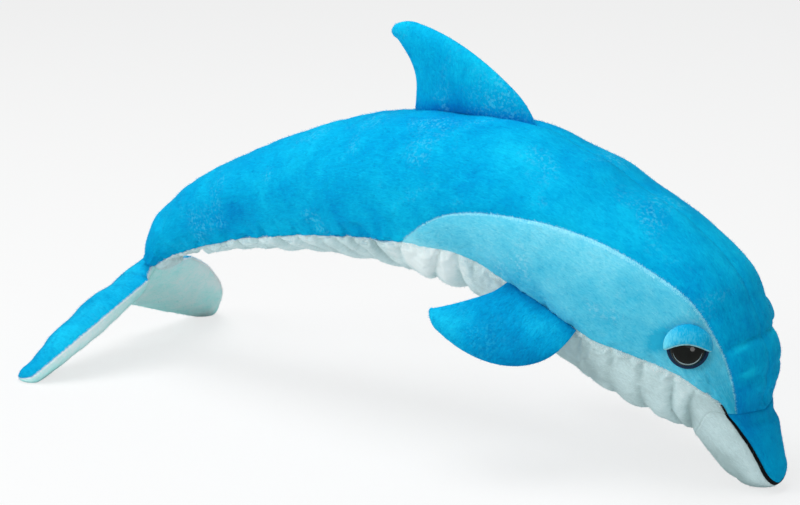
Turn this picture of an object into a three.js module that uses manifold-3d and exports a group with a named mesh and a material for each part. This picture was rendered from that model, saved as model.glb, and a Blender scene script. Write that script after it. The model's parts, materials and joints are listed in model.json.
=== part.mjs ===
// A plush dolphin, sewn from shaped cloth panels over loose stuffing. It stands as an arch on its beak and
// on the tips of its flukes. Millimetres, +X towards the beak, +Y to the dolphin's left, +Z up.
import * as THREE from 'three';
import { mergeVertices } from 'three/addons/utils/BufferGeometryUtils.js';
import Module from 'manifold-3d';

const wasm = await Module();
wasm.setup();

// Cloth, stuffing and seams
const BODY_CLOTH = 2.4;
const LIMB_CLOTH = 1.6;
const LIMB_EDGE = 1.8;
const SEAM_GAP = 0.3;
const STUFFING_GAP = 0.9;
const REST_FLAT = 0.5;

// The body along its spine, from the tail stock to the beak. Each station has its distance on from the
// station before, the slope of the spine in degrees, and how far the body reaches above, below and beside it.
const STATIONS = [
  { step: 0, slope: 60, above: 7, below: 11, side: 15 },
  { step: 38, slope: 44, above: 13.5, below: 18, side: 17 },
  { step: 54, slope: 22, above: 24.5, below: 28, side: 25 },
  { step: 70, slope: 14.5, above: 35.5, below: 38.5, side: 35 },
  { step: 70, slope: 7, above: 48, below: 49.5, side: 45 },
  { step: 70, slope: -3, above: 53, below: 56, side: 50 },
  { step: 60, slope: -20, above: 55.5, below: 62, side: 53 },
  { step: 60, slope: -26, above: 56.5, below: 65, side: 54 },
  { step: 40, slope: -36, above: 51, below: 60, side: 49 },
  { step: 28, slope: -47, above: 39, below: 50, side: 41 },
  { step: 16, slope: -53, above: 29.5, below: 44, side: 35 },
  { step: 9, slope: -56, above: 22, below: 40, side: 29.5 },
  { step: 7, slope: -57.5, above: 15.5, below: 37, side: 26.5 },
  { step: 14, slope: -60, above: 15, below: 32, side: 22 },
  { step: 20, slope: -61, above: 10, below: 21, side: 15.5 },
];
const BEAK_TIP = 14;
const BEAK_LENGTH = 37;
const PATCH_LENGTH = 243;
const PATCH_BLUNT = 5;
const TAIL_END = 20;

// Seam lines on the body as [distance, angle], the angle in degrees round the spine, 0 on the back and 180
// below. The belly's distance is from the tail end, the patch's from its rear end and the mouth's from its
// corner.
const PATCH_REAR_ANGLE = 118.5;
const MOUTH_CORNER_ANGLE = 73;
const BELLY_SEAM = [[0, 150], [30, 158], [68, 145], [103, 134.5], [160, 128], [256, PATCH_REAR_ANGLE],
  [313, 113], [398, 111], [446, 99], [480, 84], [494, 74.5], [499, MOUTH_CORNER_ANGLE]];
const PATCH_EDGE = [[0, PATCH_REAR_ANGLE], [16, 102.5], [37, 90], [54, 81], [72, 74], [102, 63], [132, 55],
  [164, 50], [190, 46], [214, 46.5], [238, 54], [243, 56]];
const MOUTH_LINE = [[0, MOUTH_CORNER_ANGLE], [21, 69], [37, 67.5], [51, 66]];
const MOUTH_CORD = { width: 2.8, cornerWidth: 1.2, thickness: 1.2 };

// How finely the body's cloth and stuffing are cut
const REAR_STEPS = 11;
const FRONT_STEPS = 13;
const BEAK_STEPS = 3;
const TIP_SHARES = [0.4, 0.7, 0.88, 0.97];
const LOIN_STEP = 5;
const HEAD_STEP = 9;
const STUFFING_SIDES = 20;
const COLUMNS = { back: 8, patch: 4, belly: 14, chin: 12, beak: 8 };
const ROOT_STEPS = 24;

// The dorsal fin: where its base starts along the spine and how long it is sewn, and its edges above the
// hinge line, each a curve from the base to the tip as [along the base from its rear end, height]
const FIN = {
  from: 259,
  sewn: 72,
  leading: [[84, 0], [62, 26], [28, 47], [-11, 47.5]],
  trailing: [[0, 0], [4, 14], [-2, 27], [-18, 41]],
  swell: 5.2,
};

// A flipper: the middle of its sewn root on the body, how long it is sewn, the angles round the body of the
// root's ends, how far it points below the horizontal, and its edges as [along the root from its middle,
// distance out]
const FLIPPER = {
  middle: 384.5,
  sewn: 67,
  rearAngle: 119,
  frontAngle: 111.5,
  droop: 45,
  leading: [[32, 0], [34, 26], [5, 48], [-46, 37.5]],
  trailing: [[-23.5, 0], [-26, 8], [-38, 19], [-50, 30]],
  swell: 5,
};

// A fluke blade: its turns from lying level, and its edges as [share of the span, distance out, distance
// forward] from the middle of the tail hinge
const FLUKE = {
  drop: 1,
  toe: 29,
  pitch: 29,
  droop: 31,
  leading: [[0, -0.6, LIMB_EDGE], [0.12, 16, 4], [0.2, 23, 14], [0.35, 42, 14.5], [0.55, 68, 10.5],
    [0.78, 99, 0], [0.93, 118, -13], [1, 124, -21]],
  trailing: [[0, 22.3, -45], [0.12, 29, -49], [0.2, 35, -50.5], [0.35, 53, -48.5], [0.55, 77, -42],
    [0.78, 101, -35], [0.93, 117, -30], [1, 123, -26]],
  swell: 5.6,
  taper: 0.6,
  ridge: 4,
  ridgeShare: 0.2,
};

// Where a blade is cut across and along, the share of its edge's thickness left at the rim, and how its
// half-round root turns
const BLADE_COLUMNS = [-1, -0.86, -0.45, 0, 0.45, 0.86, 1];
const BLADE_ROWS = [0.1, 0.26, 0.44, 0.62, 0.78, 0.9, 0.97, 1];
const FLUKE_ROWS = [0, 0.06, ...BLADE_ROWS];
const ROOT_TURNS = [-1, -0.6, 0];
const ROOT_SHARE = 0.3;
const RIM_SHARE = 0.35;
const CROWN_POWER = 0.8;
const TIP_POWER = 0.6;

// An eye: a domed bead on a shank, held by a washer inside, on a felt disc and under a padded lid. The washer
// lies deeper than flat cloth would need, because the head curves away under it.
const EYE = {
  behindMouth: 40,
  angle: 68,
  lidTurn: 50,
  beadRadius: 10.5,
  beadHeight: 6.2,
  shankRadius: 2.4,
  shankBeyond: 2.5,
  feltMargin: 2,
  feltThickness: 1,
  washerRadius: 7.5,
  washerThickness: 1.5,
  washerSink: 1.5,
  lidPadding: 3.5,
  lidCover: 3.4,
  lidGap: 0.4,
};
const ROUND_STEPS = 16;
const BEAD_STEPS = 5;
const LID_STEPS = 6;

const FINISH = {
  back: { color: 0x0aa5de, roughness: 0.95 },
  beak: { color: 0x0890c6, roughness: 0.95 },
  patch: { color: 0x62c6e2, roughness: 0.95 },
  white: { color: 0xdde6e4, roughness: 0.95 },
  mint: { color: 0xbfdcd8, roughness: 0.95 },
  limb: { color: 0x0796cf, roughness: 0.95 },
  stuffing: { color: 0xf2f2ee, roughness: 1 },
  mouth: { color: 0x11181d, roughness: 0.8 },
  bead: { color: 0x0c0f0e, roughness: 0.08 },
  felt: { color: 0x0a2233, roughness: 0.95 },
  washer: { color: 0xd9d9d4, roughness: 0.5 },
};

const radians = THREE.MathUtils.degToRad;
const vector = (x, y, z) => new THREE.Vector3(x, y, z);
const mix = THREE.MathUtils.lerp;

// Evenly spaced values from one end to the other, both included
function spaced(from, to, steps) {
  return Array.from({ length: steps + 1 }, (_, i) => mix(from, to, i / steps));
}

// A smooth curve through knots [x, y] that never overshoots them
function smooth(knots) {
  const last = knots.length - 1;
  const slopes = knots.slice(1).map(([x, y], i) => (y - knots[i][1]) / (x - knots[i][0]));
  const tangents = knots.map((_, i) => {
    if (i === 0) return slopes[0];
    if (i === last) return slopes[last - 1];
    const [before, after] = [slopes[i - 1], slopes[i]];
    return before * after <= 0 ? 0 : (2 * before * after) / (before + after);
  });
  return (x) => {
    const i = Math.max(0, knots.findLastIndex((knot, n) => n < last && knot[0] <= x));
    const span = knots[i + 1][0] - knots[i][0];
    const t = THREE.MathUtils.clamp((x - knots[i][0]) / span, 0, 1);
    const bend = (1 - t) * (1 - t) * t * span * tangents[i] - t * t * (1 - t) * span * tangents[i + 1];
    return mix(knots[i][1], knots[i + 1][1], t * t * (3 - 2 * t)) + bend;
  };
}

// The body's surface
const stationsAlong = STATIONS.map((_, i) => {
  const passed = STATIONS.slice(0, i + 1);
  return passed.reduce((sum, { step }) => sum + step, 0);
});
const TIP_START = stationsAlong.at(-1);
const BEAK_CREASE = TIP_START - BEAK_LENGTH;
const PATCH_REAR = BEAK_CREASE - PATCH_LENGTH;
const stationCurve = (key) => smooth(STATIONS.map((station, i) => [stationsAlong[i], station[key]]));
const seamCurve = (knots, start) => smooth(knots.map(([distance, angle]) => [start + distance, angle]));
const slopeAt = stationCurve('slope');
const aboveAt = stationCurve('above');
const belowAt = stationCurve('below');
const sideAt = stationCurve('side');
const bellySeam = seamCurve(BELLY_SEAM, TAIL_END);
const patchEdge = seamCurve(PATCH_EDGE, PATCH_REAR);
const mouthLine = seamCurve(MOUTH_LINE, BEAK_CREASE);

// The spine, walked in steps of about a millimetre from the tail stock
const SPINE = [vector(0, 0, 0)];
for (let along = 0.5; along < TIP_START + BEAK_TIP; along += 1) {
  const slope = radians(slopeAt(along));
  SPINE.push(SPINE.at(-1).clone().add(vector(Math.cos(slope), 0, Math.sin(slope))));
}
function spineAt(along) {
  const step = Math.min(Math.floor(along), SPINE.length - 2);
  return SPINE[step].clone().lerp(SPINE[step + 1], along - step);
}

// A point of the body: how far along, the angle round it in degrees (positive on the right) and how deep
// under the surface. Past the start of the tip the body rounds off to a point.
function skin(along, angle, depth = 0) {
  const tipShare = Math.max(0, (along - TIP_START) / BEAK_TIP);
  const reach = tipShare > 0 ? TIP_START + tipShare * (BEAK_TIP - depth) : along;
  const narrowing = Math.sqrt(Math.max(0, 1 - tipShare * tipShare));
  const slope = radians(slopeAt(reach));
  const cosine = Math.cos(radians(angle));
  const height = ((cosine > 0 ? aboveAt(reach) : belowAt(reach)) - depth) * cosine * narrowing;
  const width = (sideAt(reach) - depth) * Math.sin(radians(angle)) * narrowing;
  return spineAt(reach).add(vector(-Math.sin(slope) * height, -width, Math.cos(slope) * height));
}

// The angle that half a seam's gap takes up on the inside of the cloth
function halfGap(along, angle) {
  const perDegree = skin(along, angle + 1, BODY_CLOTH).distanceTo(skin(along, angle - 1, BODY_CLOTH)) / 2;
  return SEAM_GAP / 2 / perDegree;
}

// The outward direction of the body's surface
function outward(along, angle) {
  const lengthwise = skin(along + 1, angle).sub(skin(along - 1, angle));
  const around = skin(along, angle + 1).sub(skin(along, angle - 1));
  return around.cross(lengthwise).normalize();
}

// A closed mesh from points and faces of three or four corners, turned so that its faces point out
function closedMesh(points, faces) {
  const index = faces.flatMap(([a, b, c, d]) => (d === undefined ? [a, b, c] : [a, b, c, a, c, d]));
  let volume = 0;
  for (let i = 0; i < index.length; i += 3) {
    const [a, b, c] = [points[index[i]], points[index[i + 1]], points[index[i + 2]]];
    volume += a.dot(b.clone().cross(c));
  }
  return new THREE.BufferGeometry().setFromPoints(points).setIndex(volume < 0 ? index.reverse() : index);
}

// A sheet between two grids of points of the same size, closed round its edge
function sheet(outer, inner) {
  const [rows, columns] = [outer.length, outer[0].length];
  const end = columns - 1;
  const at = (row, column, layer) => (layer * rows + row) * columns + column;
  const faces = [];
  for (let r = 0; r < rows - 1; r += 1) {
    for (let c = 0; c < end; c += 1) {
      faces.push([at(r, c, 0), at(r, c + 1, 0), at(r + 1, c + 1, 0), at(r + 1, c, 0)]);
      faces.push([at(r + 1, c, 1), at(r + 1, c + 1, 1), at(r, c + 1, 1), at(r, c, 1)]);
    }
  }
  for (let r = 0; r < rows - 1; r += 1) {
    faces.push([at(r + 1, 0, 0), at(r + 1, 0, 1), at(r, 0, 1), at(r, 0, 0)]);
    faces.push([at(r, end, 0), at(r, end, 1), at(r + 1, end, 1), at(r + 1, end, 0)]);
  }
  for (let c = 0; c < end; c += 1) {
    faces.push([at(0, c, 0), at(0, c, 1), at(0, c + 1, 1), at(0, c + 1, 0)]);
    faces.push([at(rows - 1, c + 1, 0), at(rows - 1, c + 1, 1), at(rows - 1, c, 1), at(rows - 1, c, 0)]);
  }
  return closedMesh([...outer.flat(), ...inner.flat()], faces);
}

// A solid through closed rings of points of the same size, capped at both ends
function lofted(rings) {
  const [sides, last] = [rings[0].length, rings.length - 1];
  const at = (ring, side) => ring * sides + (side % sides);
  const middle = (ring) => ring.reduce((sum, point) => sum.add(point), vector(0, 0, 0)).divideScalar(sides);
  const [firstCap, lastCap] = [rings.length * sides, rings.length * sides + 1];
  const faces = [];
  for (let side = 0; side < sides; side += 1) {
    for (let ring = 0; ring < last; ring += 1) {
      faces.push([at(ring, side), at(ring, side + 1), at(ring + 1, side + 1), at(ring + 1, side)]);
    }
    faces.push([firstCap, at(0, side + 1), at(0, side)]);
    faces.push([lastCap, at(last, side), at(last, side + 1)]);
  }
  return closedMesh([...rings.flat(), middle(rings[0]), middle(rings[last])], faces);
}

// Boolean cuts
function solid(geometry) {
  const bare = geometry.clone();
  bare.deleteAttribute('normal');
  bare.deleteAttribute('uv');
  const merged = mergeVertices(bare, 1e-4);
  const vertProperties = new Float32Array(merged.attributes.position.array);
  const triVerts = new Uint32Array(merged.index.array);
  return new wasm.Manifold(new wasm.Mesh({ numProp: 3, vertProperties, triVerts }));
}
function cut(geometry, ...tools) {
  const left = tools.reduce((body, tool) => body.subtract(solid(tool)), solid(geometry));
  const { vertProperties, triVerts } = left.getMesh();
  const result = new THREE.BufferGeometry();
  result.setAttribute('position', new THREE.BufferAttribute(vertProperties, 3));
  result.setIndex([...triVerts]);
  return result;
}

function piece(name, geometry, finish) {
  const mesh = new THREE.Mesh(geometry, new THREE.MeshStandardMaterial({ metalness: 0, ...finish }));
  mesh.name = name;
  return mesh;
}

// A cloth panel of the body between two edges, given as functions of the distance along
function clothPanel(rows, fromAngle, toAngle, columns) {
  const layer = (depth) => rows.map((along) => spaced(fromAngle(along), toAngle(along), columns)
    .map((angle) => skin(along, angle, depth)));
  return sheet(layer(0), layer(BODY_CLOTH));
}

// A lump of stuffing that fills the body between two distances along it
function stuffing(rows) {
  const depth = BODY_CLOTH + STUFFING_GAP;
  const angles = spaced(0, 360, STUFFING_SIDES).slice(1);
  return lofted(rows.map((along) => angles.map((angle) => skin(along, angle, depth))));
}

// A list of rows with its ends drawn in by half a seam
function drawnIn(rows) {
  return [rows[0] + SEAM_GAP / 2, ...rows.slice(1, -1), rows.at(-1) - SEAM_GAP / 2];
}

const rearRows = spaced(TAIL_END, PATCH_REAR, REAR_STEPS);
const [patchRear, ...aheadRows] = spaced(PATCH_REAR, BEAK_CREASE, FRONT_STEPS);
const frontRows = [patchRear, PATCH_REAR + PATCH_BLUNT, ...aheadRows];
const bodyRows = drawnIn([...rearRows, ...frontRows.slice(1)]);
const tipRows = TIP_SHARES.map((share) => TIP_START + share * BEAK_TIP);
const beakRows = drawnIn([...spaced(BEAK_CREASE, TIP_START, BEAK_STEPS), ...tipRows]);

// The edge of the blue back: the belly seam behind the pale patch, and the patch's edge along it
const backEdge = (along) => (along < PATCH_REAR ? bellySeam(along) : patchEdge(along));
const inside = (edge, sign) => (along) => edge(along) + sign * halfGap(along, edge(along));

function bodyPieces() {
  const pieces = [];
  const patchRows = drawnIn(frontRows.slice(1));
  for (const [side, sign] of [['right', 1], ['left', -1]]) {
    const mirrored = (edge) => (along) => sign * edge(along);
    const [backFrom, backTo] = [(along) => halfGap(along, 0), inside(backEdge, -1)].map(mirrored);
    const [patchFrom, patchTo] = [inside(patchEdge, 1), inside(bellySeam, -1)].map(mirrored);
    const back = clothPanel(bodyRows, backFrom, backTo, COLUMNS.back);
    const patch = clothPanel(patchRows, patchFrom, patchTo, COLUMNS.patch);
    pieces.push(piece(`back_panel_${side}`, back, FINISH.back));
    pieces.push(piece(`side_patch_${side}`, cut(patch, eyeTool(sign, EYE.shankRadius)), FINISH.patch));
  }
  const belowEdge = inside(bellySeam, 1);
  const mouthBelow = inside(mouthLine, 1);
  const mouthAbove = inside(mouthLine, -1);
  const belly = clothPanel(bodyRows, belowEdge, (along) => 360 - belowEdge(along), COLUMNS.belly);
  const chin = clothPanel(beakRows, mouthBelow, (along) => 360 - mouthBelow(along), COLUMNS.chin);
  const beak = clothPanel(beakRows, (along) => -mouthAbove(along), mouthAbove, COLUMNS.beak);
  pieces.push(piece('belly_panel', belly, FINISH.white));
  pieces.push(piece('chin_panel', chin, FINISH.white));
  pieces.push(piece('beak_panel', beak, FINISH.beak));
  pieces.push(piece('mouth_cord', mouthCord(), FINISH.mouth));
  return pieces;
}

// The cord along the mouth seam, from the right corner round the tip to the left corner
function mouthCord() {
  const rows = [...beakRows, TIP_START + BEAK_TIP];
  const tip = rows.length - 1;
  const stops = [...rows.map((along, i) => [along, 1, i / tip]),
    ...rows.slice(0, -1).map((along, i) => [along, -1, i / tip]).reverse()];
  const path = stops.map(([along, sign]) => skin(along, sign * mouthLine(along)));
  const rings = stops.map(([along, sign, share], i) => {
    const centre = skin(Math.min(along, TIP_START), 90, sideAt(Math.min(along, TIP_START)));
    const out = path[i].clone().sub(centre).normalize();
    const ahead = path[Math.min(i + 1, path.length - 1)].clone().sub(path[Math.max(i - 1, 0)]).normalize();
    const across = out.clone().cross(ahead).normalize();
    const half = mix(MOUTH_CORD.cornerWidth, MOUTH_CORD.width, share) / 2;
    const low = SEAM_GAP;
    const high = SEAM_GAP + MOUTH_CORD.thickness;
    const corner = (wide, tall) => path[i].clone().addScaledVector(across, wide).addScaledVector(out, tall);
    return [corner(-half, low), corner(half, low), corner(half / 2, high), corner(-half / 2, high)];
  });
  return lofted(rings);
}

function stuffingPieces() {
  const lumps = {
    tail_stuffing: rearRows.slice(0, LOIN_STEP + 1),
    loin_stuffing: rearRows.slice(LOIN_STEP),
    chest_stuffing: frontRows.slice(0, HEAD_STEP + 1),
    head_stuffing: frontRows.slice(HEAD_STEP),
    beak_stuffing: [...spaced(BEAK_CREASE, TIP_START, BEAK_STEPS), ...tipRows.slice(0, 2)],
  };
  const pockets = [1, -1].map((sign) => eyeTool(sign, EYE.washerRadius));
  return Object.entries(lumps).map(([name, rows]) => {
    const lump = stuffing(drawnIn(rows));
    return piece(name, name === 'head_stuffing' ? cut(lump, ...pockets) : lump, FINISH.stuffing);
  });
}

// Eyes. The frame of an eye lies on the felt: X along the lid's edge, Y to the lid's crown and Z out.
const eyeAlong = BEAK_CREASE - EYE.behindMouth;
const feltTop = -SEAM_GAP;
const feltBottom = feltTop - EYE.feltThickness;
const eyeSkin = feltBottom - SEAM_GAP;
const washerTop = eyeSkin - BODY_CLOTH - EYE.washerSink;
const washerBottom = washerTop - EYE.washerThickness;
const shankEnd = washerBottom - EYE.shankBeyond;

function eyeFrame(sign) {
  const angle = sign * EYE.angle;
  const out = outward(eyeAlong, angle);
  const forward = skin(eyeAlong + 1, angle).sub(skin(eyeAlong - 1, angle)).normalize();
  const up = out.clone().cross(forward).multiplyScalar(sign);
  const crown = up.applyAxisAngle(out, sign * radians(EYE.lidTurn));
  const across = crown.clone().cross(out);
  const frame = new THREE.Group();
  frame.position.copy(skin(eyeAlong, angle).addScaledVector(out, -eyeSkin));
  frame.quaternion.setFromRotationMatrix(new THREE.Matrix4().makeBasis(across, crown, out));
  frame.updateMatrix();
  return frame;
}

// A round hole or pocket through the cloth and into the stuffing, on the axis of an eye
function eyeTool(sign, radius) {
  const reach = SEAM_GAP - shankEnd;
  const tool = new THREE.CylinderGeometry(radius + SEAM_GAP, radius + SEAM_GAP, 2 * reach, ROUND_STEPS);
  return tool.rotateX(Math.PI / 2).applyMatrix4(eyeFrame(sign).matrix);
}

function turned(profile) {
  const lathe = new THREE.LatheGeometry(profile.map(([r, z]) => new THREE.Vector2(r, z)), ROUND_STEPS);
  return lathe.rotateX(Math.PI / 2);
}

// A dome's outline from its rim up to its crown, on the axis
function domeProfile(radius, height, steps) {
  const rising = spaced(0, Math.PI / 2, steps).slice(0, -1);
  return [...rising.map((turn) => [radius * Math.cos(turn), height * Math.sin(turn)]), [0, height]];
}

// A flat ring between two heights
function ring(inner, outer, bottom, top) {
  return turned([[inner, bottom], [outer, bottom], [outer, top], [inner, top], [inner, bottom]]);
}

function eyePieces(sign, side) {
  const frame = eyeFrame(sign);
  const bore = EYE.shankRadius + SEAM_GAP;
  const bead = turned([
    [0, shankEnd],
    [EYE.shankRadius, shankEnd],
    [EYE.shankRadius, 0],
    ...domeProfile(EYE.beadRadius, EYE.beadHeight, BEAD_STEPS),
  ]);
  const felt = ring(bore, EYE.beadRadius + EYE.feltMargin, feltBottom, feltTop);
  const washer = ring(bore, EYE.washerRadius, washerBottom, washerTop);
  frame.add(piece(`eye_bead_${side}`, bead, FINISH.bead));
  frame.add(piece(`eye_felt_${side}`, felt, FINISH.felt));
  frame.add(piece(`eye_washer_${side}`, washer, FINISH.washer));
  frame.add(piece(`eyelid_${side}`, eyelid(), FINISH.limb));
  return frame;
}

// A padded half dome over the upper half of the bead
function eyelid() {
  const lidRadius = EYE.beadRadius + EYE.lidPadding;
  const lidHeight = EYE.beadHeight + EYE.lidCover;
  const roomRadius = EYE.beadRadius + EYE.lidGap;
  const roomHeight = EYE.beadHeight + EYE.lidGap;
  const pad = turned([[0, 0], ...domeProfile(lidRadius, lidHeight, LID_STEPS)]);
  const hollow = turned([
    [0, -EYE.lidGap],
    [roomRadius, -EYE.lidGap],
    ...domeProfile(roomRadius, roomHeight, BEAD_STEPS),
  ]);
  const size = 4 * lidRadius;
  const lower = new THREE.BoxGeometry(size, size, size).translate(0, -size / 2, 0);
  return cut(pad, hollow, lower);
}

// Blades: the dorsal fin, the flippers and the flukes. A blade is two cloth panels, sewn round their edge,
// over a flat lump of stuffing. It lies in X and Y with its root along X at Y = 0, and is thick along Z.
const crownAt = (column) => Math.pow(1 - column * column, CROWN_POWER);
const swellAt = (column, row) => 2 * crownAt(column) * Math.sqrt(row) * Math.pow(1 - row, TIP_POWER);
const edgeAt = (column, row) => LIMB_EDGE * (Math.abs(column) === 1 || row === 1 ? RIM_SHARE : 1);

// The rows of a hinged blade: a half-round root about the hinge line, then the blade out to its tip
function hingedRows(shape) {
  const leading = new THREE.CubicBezierCurve(...shape.leading.map(([x, y]) => new THREE.Vector2(x, y)));
  const trailing = new THREE.CubicBezierCurve(...shape.trailing.map(([x, y]) => new THREE.Vector2(x, y)));
  const line = (row, lift) => BLADE_COLUMNS.map((column) => {
    const point = trailing.getPoint(row).lerp(leading.getPoint(row), (column + 1) / 2);
    return vector(point.x, point.y + lift, 0);
  });
  const rootRows = ROOT_TURNS.map((turn) => ({
    points: line(0, turn * LIMB_EDGE),
    halves: BLADE_COLUMNS.map(() => LIMB_EDGE * Math.max(ROOT_SHARE, Math.sqrt(1 - turn * turn))),
  }));
  const outRows = BLADE_ROWS.map((row) => ({
    points: line(row, 0),
    halves: BLADE_COLUMNS.map((column) => edgeAt(column, row) + shape.swell * swellAt(column, row)),
  }));
  return [...rootRows, ...outRows];
}

// One cloth panel of a blade, on its +Z or -Z face
function bladePanel(rows, face, thickness = (row) => row.points.map(() => vector(0, 0, 1))) {
  const layer = (depth) => rows.map((row) => {
    const ways = thickness(row);
    return row.points.map((point, i) => {
      const height = Math.max(SEAM_GAP / 2, row.halves[i] - depth);
      return point.clone().addScaledVector(ways[i], face * height);
    });
  });
  return sheet(layer(0), layer(LIMB_CLOTH));
}

// The stuffing of a blade, inside both panels and clear of the sewn edge
function bladeStuffing(rows, thickness = (row) => row.points.map(() => vector(0, 0, 1))) {
  const inner = rows.filter((row) => Math.min(...row.halves.slice(1, -1)) > LIMB_CLOTH + STUFFING_GAP);
  const layer = (face) => inner.map((row) => {
    const ways = thickness(row);
    return row.points.map((point, i) => {
      const height = row.halves[i] - LIMB_CLOTH - STUFFING_GAP / 2;
      return point.clone().addScaledVector(ways[i], face * height);
    }).slice(1, -1);
  });
  return sheet(layer(1), layer(-1));
}

function hingeFrame(origin, axis, out) {
  const frame = new THREE.Group();
  const normal = axis.clone().cross(out).normalize();
  const basis = new THREE.Matrix4().makeBasis(axis, normal.clone().cross(axis), normal);
  frame.position.copy(origin);
  frame.quaternion.setFromRotationMatrix(basis);
  return frame;
}

// The hinge line of a limb sewn on along a curve of the body: level with the part of the curve that stands
// out furthest, and clear of it by the limb's half-round root
function rootLine(curve, out) {
  const [first, last] = [curve[0], curve.at(-1)];
  const axis = last.clone().sub(first).normalize();
  const away = out.clone().addScaledVector(axis, -out.dot(axis)).normalize();
  const rise = Math.max(...curve.map((point) => point.clone().sub(first).dot(away)));
  const clear = rise + SEAM_GAP + LIMB_EDGE;
  return { axis, away, start: first.clone().addScaledVector(away, clear) };
}

function dorsalFin() {
  const curve = spaced(FIN.from, FIN.from + FIN.sewn, ROOT_STEPS).map((along) => skin(along, 0));
  const { axis, away, start } = rootLine(curve, vector(0, 0, 1));
  const frame = hingeFrame(start, axis, away);
  const rows = hingedRows(FIN);
  frame.name = 'fin_hinge';
  frame.add(piece('fin_panel_left', bladePanel(rows, -1), FINISH.back));
  frame.add(piece('fin_panel_right', bladePanel(rows, 1), FINISH.back));
  frame.add(piece('fin_stuffing', bladeStuffing(rows), FINISH.stuffing));
  return frame;
}

function flipper(sign, side) {
  const curve = spaced(-0.5, 0.5, ROOT_STEPS).map((share) => skin(
    FLIPPER.middle + share * FLIPPER.sewn,
    sign * mix(FLIPPER.rearAngle, FLIPPER.frontAngle, share + 0.5),
  ));
  const droop = radians(FLIPPER.droop);
  const { axis, away, start } = rootLine(curve, vector(0, -sign * Math.cos(droop), -Math.sin(droop)));
  const half = curve[0].distanceTo(curve.at(-1)) / 2;
  const frame = hingeFrame(start.clone().addScaledVector(axis, half), axis, away);
  const rows = hingedRows(FLIPPER);
  frame.name = `flipper_hinge_${side}`;
  frame.add(piece(`flipper_top_${side}`, bladePanel(rows, -sign), FINISH.limb));
  frame.add(piece(`flipper_under_${side}`, bladePanel(rows, sign), FINISH.limb));
  frame.add(piece(`flipper_stuffing_${side}`, bladeStuffing(rows), FINISH.stuffing));
  return frame;
}

// The rows of a fluke blade, from the middle of the tail out to the tip, raised to a ridge along the middle
function flukeRows(sign) {
  const turn = new THREE.Euler(radians(FLUKE.droop), radians(-FLUKE.pitch), radians(-FLUKE.toe), 'ZYX');
  const place = (out, forward, up) => {
    const point = vector(forward, -out, up).applyEuler(turn);
    return vector(point.x, sign * point.y, point.z);
  };
  const edge = (knots) => [1, 2].map((key) => smooth(knots.map((knot) => [knot[0], knot[key]])));
  const [leadOut, leadForward] = edge(FLUKE.leading);
  const [trailOut, trailForward] = edge(FLUKE.trailing);
  const normal = place(0, 0, 1);
  const upright = vector(normal.x, 0, normal.z).normalize();
  return FLUKE_ROWS.map((row) => {
    const middle = Math.max(0, 1 - row / FLUKE.ridgeShare);
    const way = normal.clone().lerp(upright, middle).normalize();
    const points = BLADE_COLUMNS.map((column) => {
      const share = (column + 1) / 2;
      const ridge = FLUKE.ridge * (middle * middle * share - 1);
      return place(
        mix(trailOut(row), leadOut(row), share),
        mix(trailForward(row), leadForward(row), share),
        0,
      ).addScaledVector(upright, ridge);
    });
    const swell = row === 1 ? 0 : FLUKE.swell * (1 - FLUKE.taper * row * row);
    const halves = BLADE_COLUMNS.map((column) => edgeAt(column, row) + swell * crownAt(column));
    return { points, halves, way };
  });
}

function flukes() {
  const slope = radians(slopeAt(TAIL_END));
  const behind = vector(-Math.cos(slope), 0, -Math.sin(slope));
  const below = vector(Math.sin(slope), 0, -Math.cos(slope));
  const frame = new THREE.Group();
  frame.name = 'fluke_hinge';
  frame.position.copy(spineAt(TAIL_END))
    .addScaledVector(behind, SEAM_GAP + LIMB_EDGE)
    .addScaledVector(below, FLUKE.drop);
  for (const [side, sign] of [['right', 1], ['left', -1]]) {
    const rows = flukeRows(sign);
    const ways = (row) => row.points.map(() => row.way);
    frame.add(piece(`fluke_top_${side}`, bladePanel(rows, 1, ways), FINISH.limb));
    frame.add(piece(`fluke_under_${side}`, bladePanel(rows, -1, ways), FINISH.mint));
    frame.add(piece(`fluke_stuffing_${side}`, bladeStuffing(rows, ways), FINISH.stuffing));
  }
  return frame;
}

// Standing: the body tips until the beak and the flukes meet one floor, and is cut flat where it rests
function worldPoints(mesh) {
  const { position } = mesh.geometry.attributes;
  return Array.from({ length: position.count }, (_, i) => vector(0, 0, 0)
    .fromBufferAttribute(position, i).applyMatrix4(mesh.matrixWorld));
}
function lowest(mesh) {
  return worldPoints(mesh).reduce((low, point) => (point.z < low.z ? point : low));
}
function stand(toy, feet) {
  const [beak, tail] = feet.map((name) => toy.getObjectByName(name));
  for (let pass = 0; pass < 4; pass += 1) {
    toy.updateMatrixWorld(true);
    const [front, rear] = [lowest(beak), lowest(tail)];
    toy.rotation.y += Math.atan2(front.z - rear.z, front.x - rear.x);
  }
  toy.updateMatrixWorld(true);
  toy.position.z = -lowest(beak).z - REST_FLAT;
  toy.updateMatrixWorld(true);
  const box = new THREE.Box3().setFromObject(toy, true);
  const reach = 2 * (box.max.x - box.min.x);
  toy.traverse((mesh) => {
    if (!mesh.isMesh || lowest(mesh).z >= 0) return;
    const floor = new THREE.BoxGeometry(2 * reach, reach, reach).translate(0, 0, -reach / 2);
    const placed = mesh.geometry.clone().applyMatrix4(mesh.matrixWorld);
    mesh.geometry = cut(placed, floor).applyMatrix4(mesh.matrixWorld.clone().invert());
  });
  const flat = new THREE.Box3().setFromObject(toy, true);
  toy.position.x = -(flat.min.x + flat.max.x) / 2;
}

const dolphin = new THREE.Group();
dolphin.add(...bodyPieces(), ...stuffingPieces());
dolphin.add(eyePieces(1, 'right'), eyePieces(-1, 'left'));
dolphin.add(dorsalFin(), flipper(1, 'right'), flipper(-1, 'left'), flukes());
stand(dolphin, ['chin_panel', 'fluke_under_right']);

export default dolphin;
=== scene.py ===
import json
import math
from types import SimpleNamespace

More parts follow.
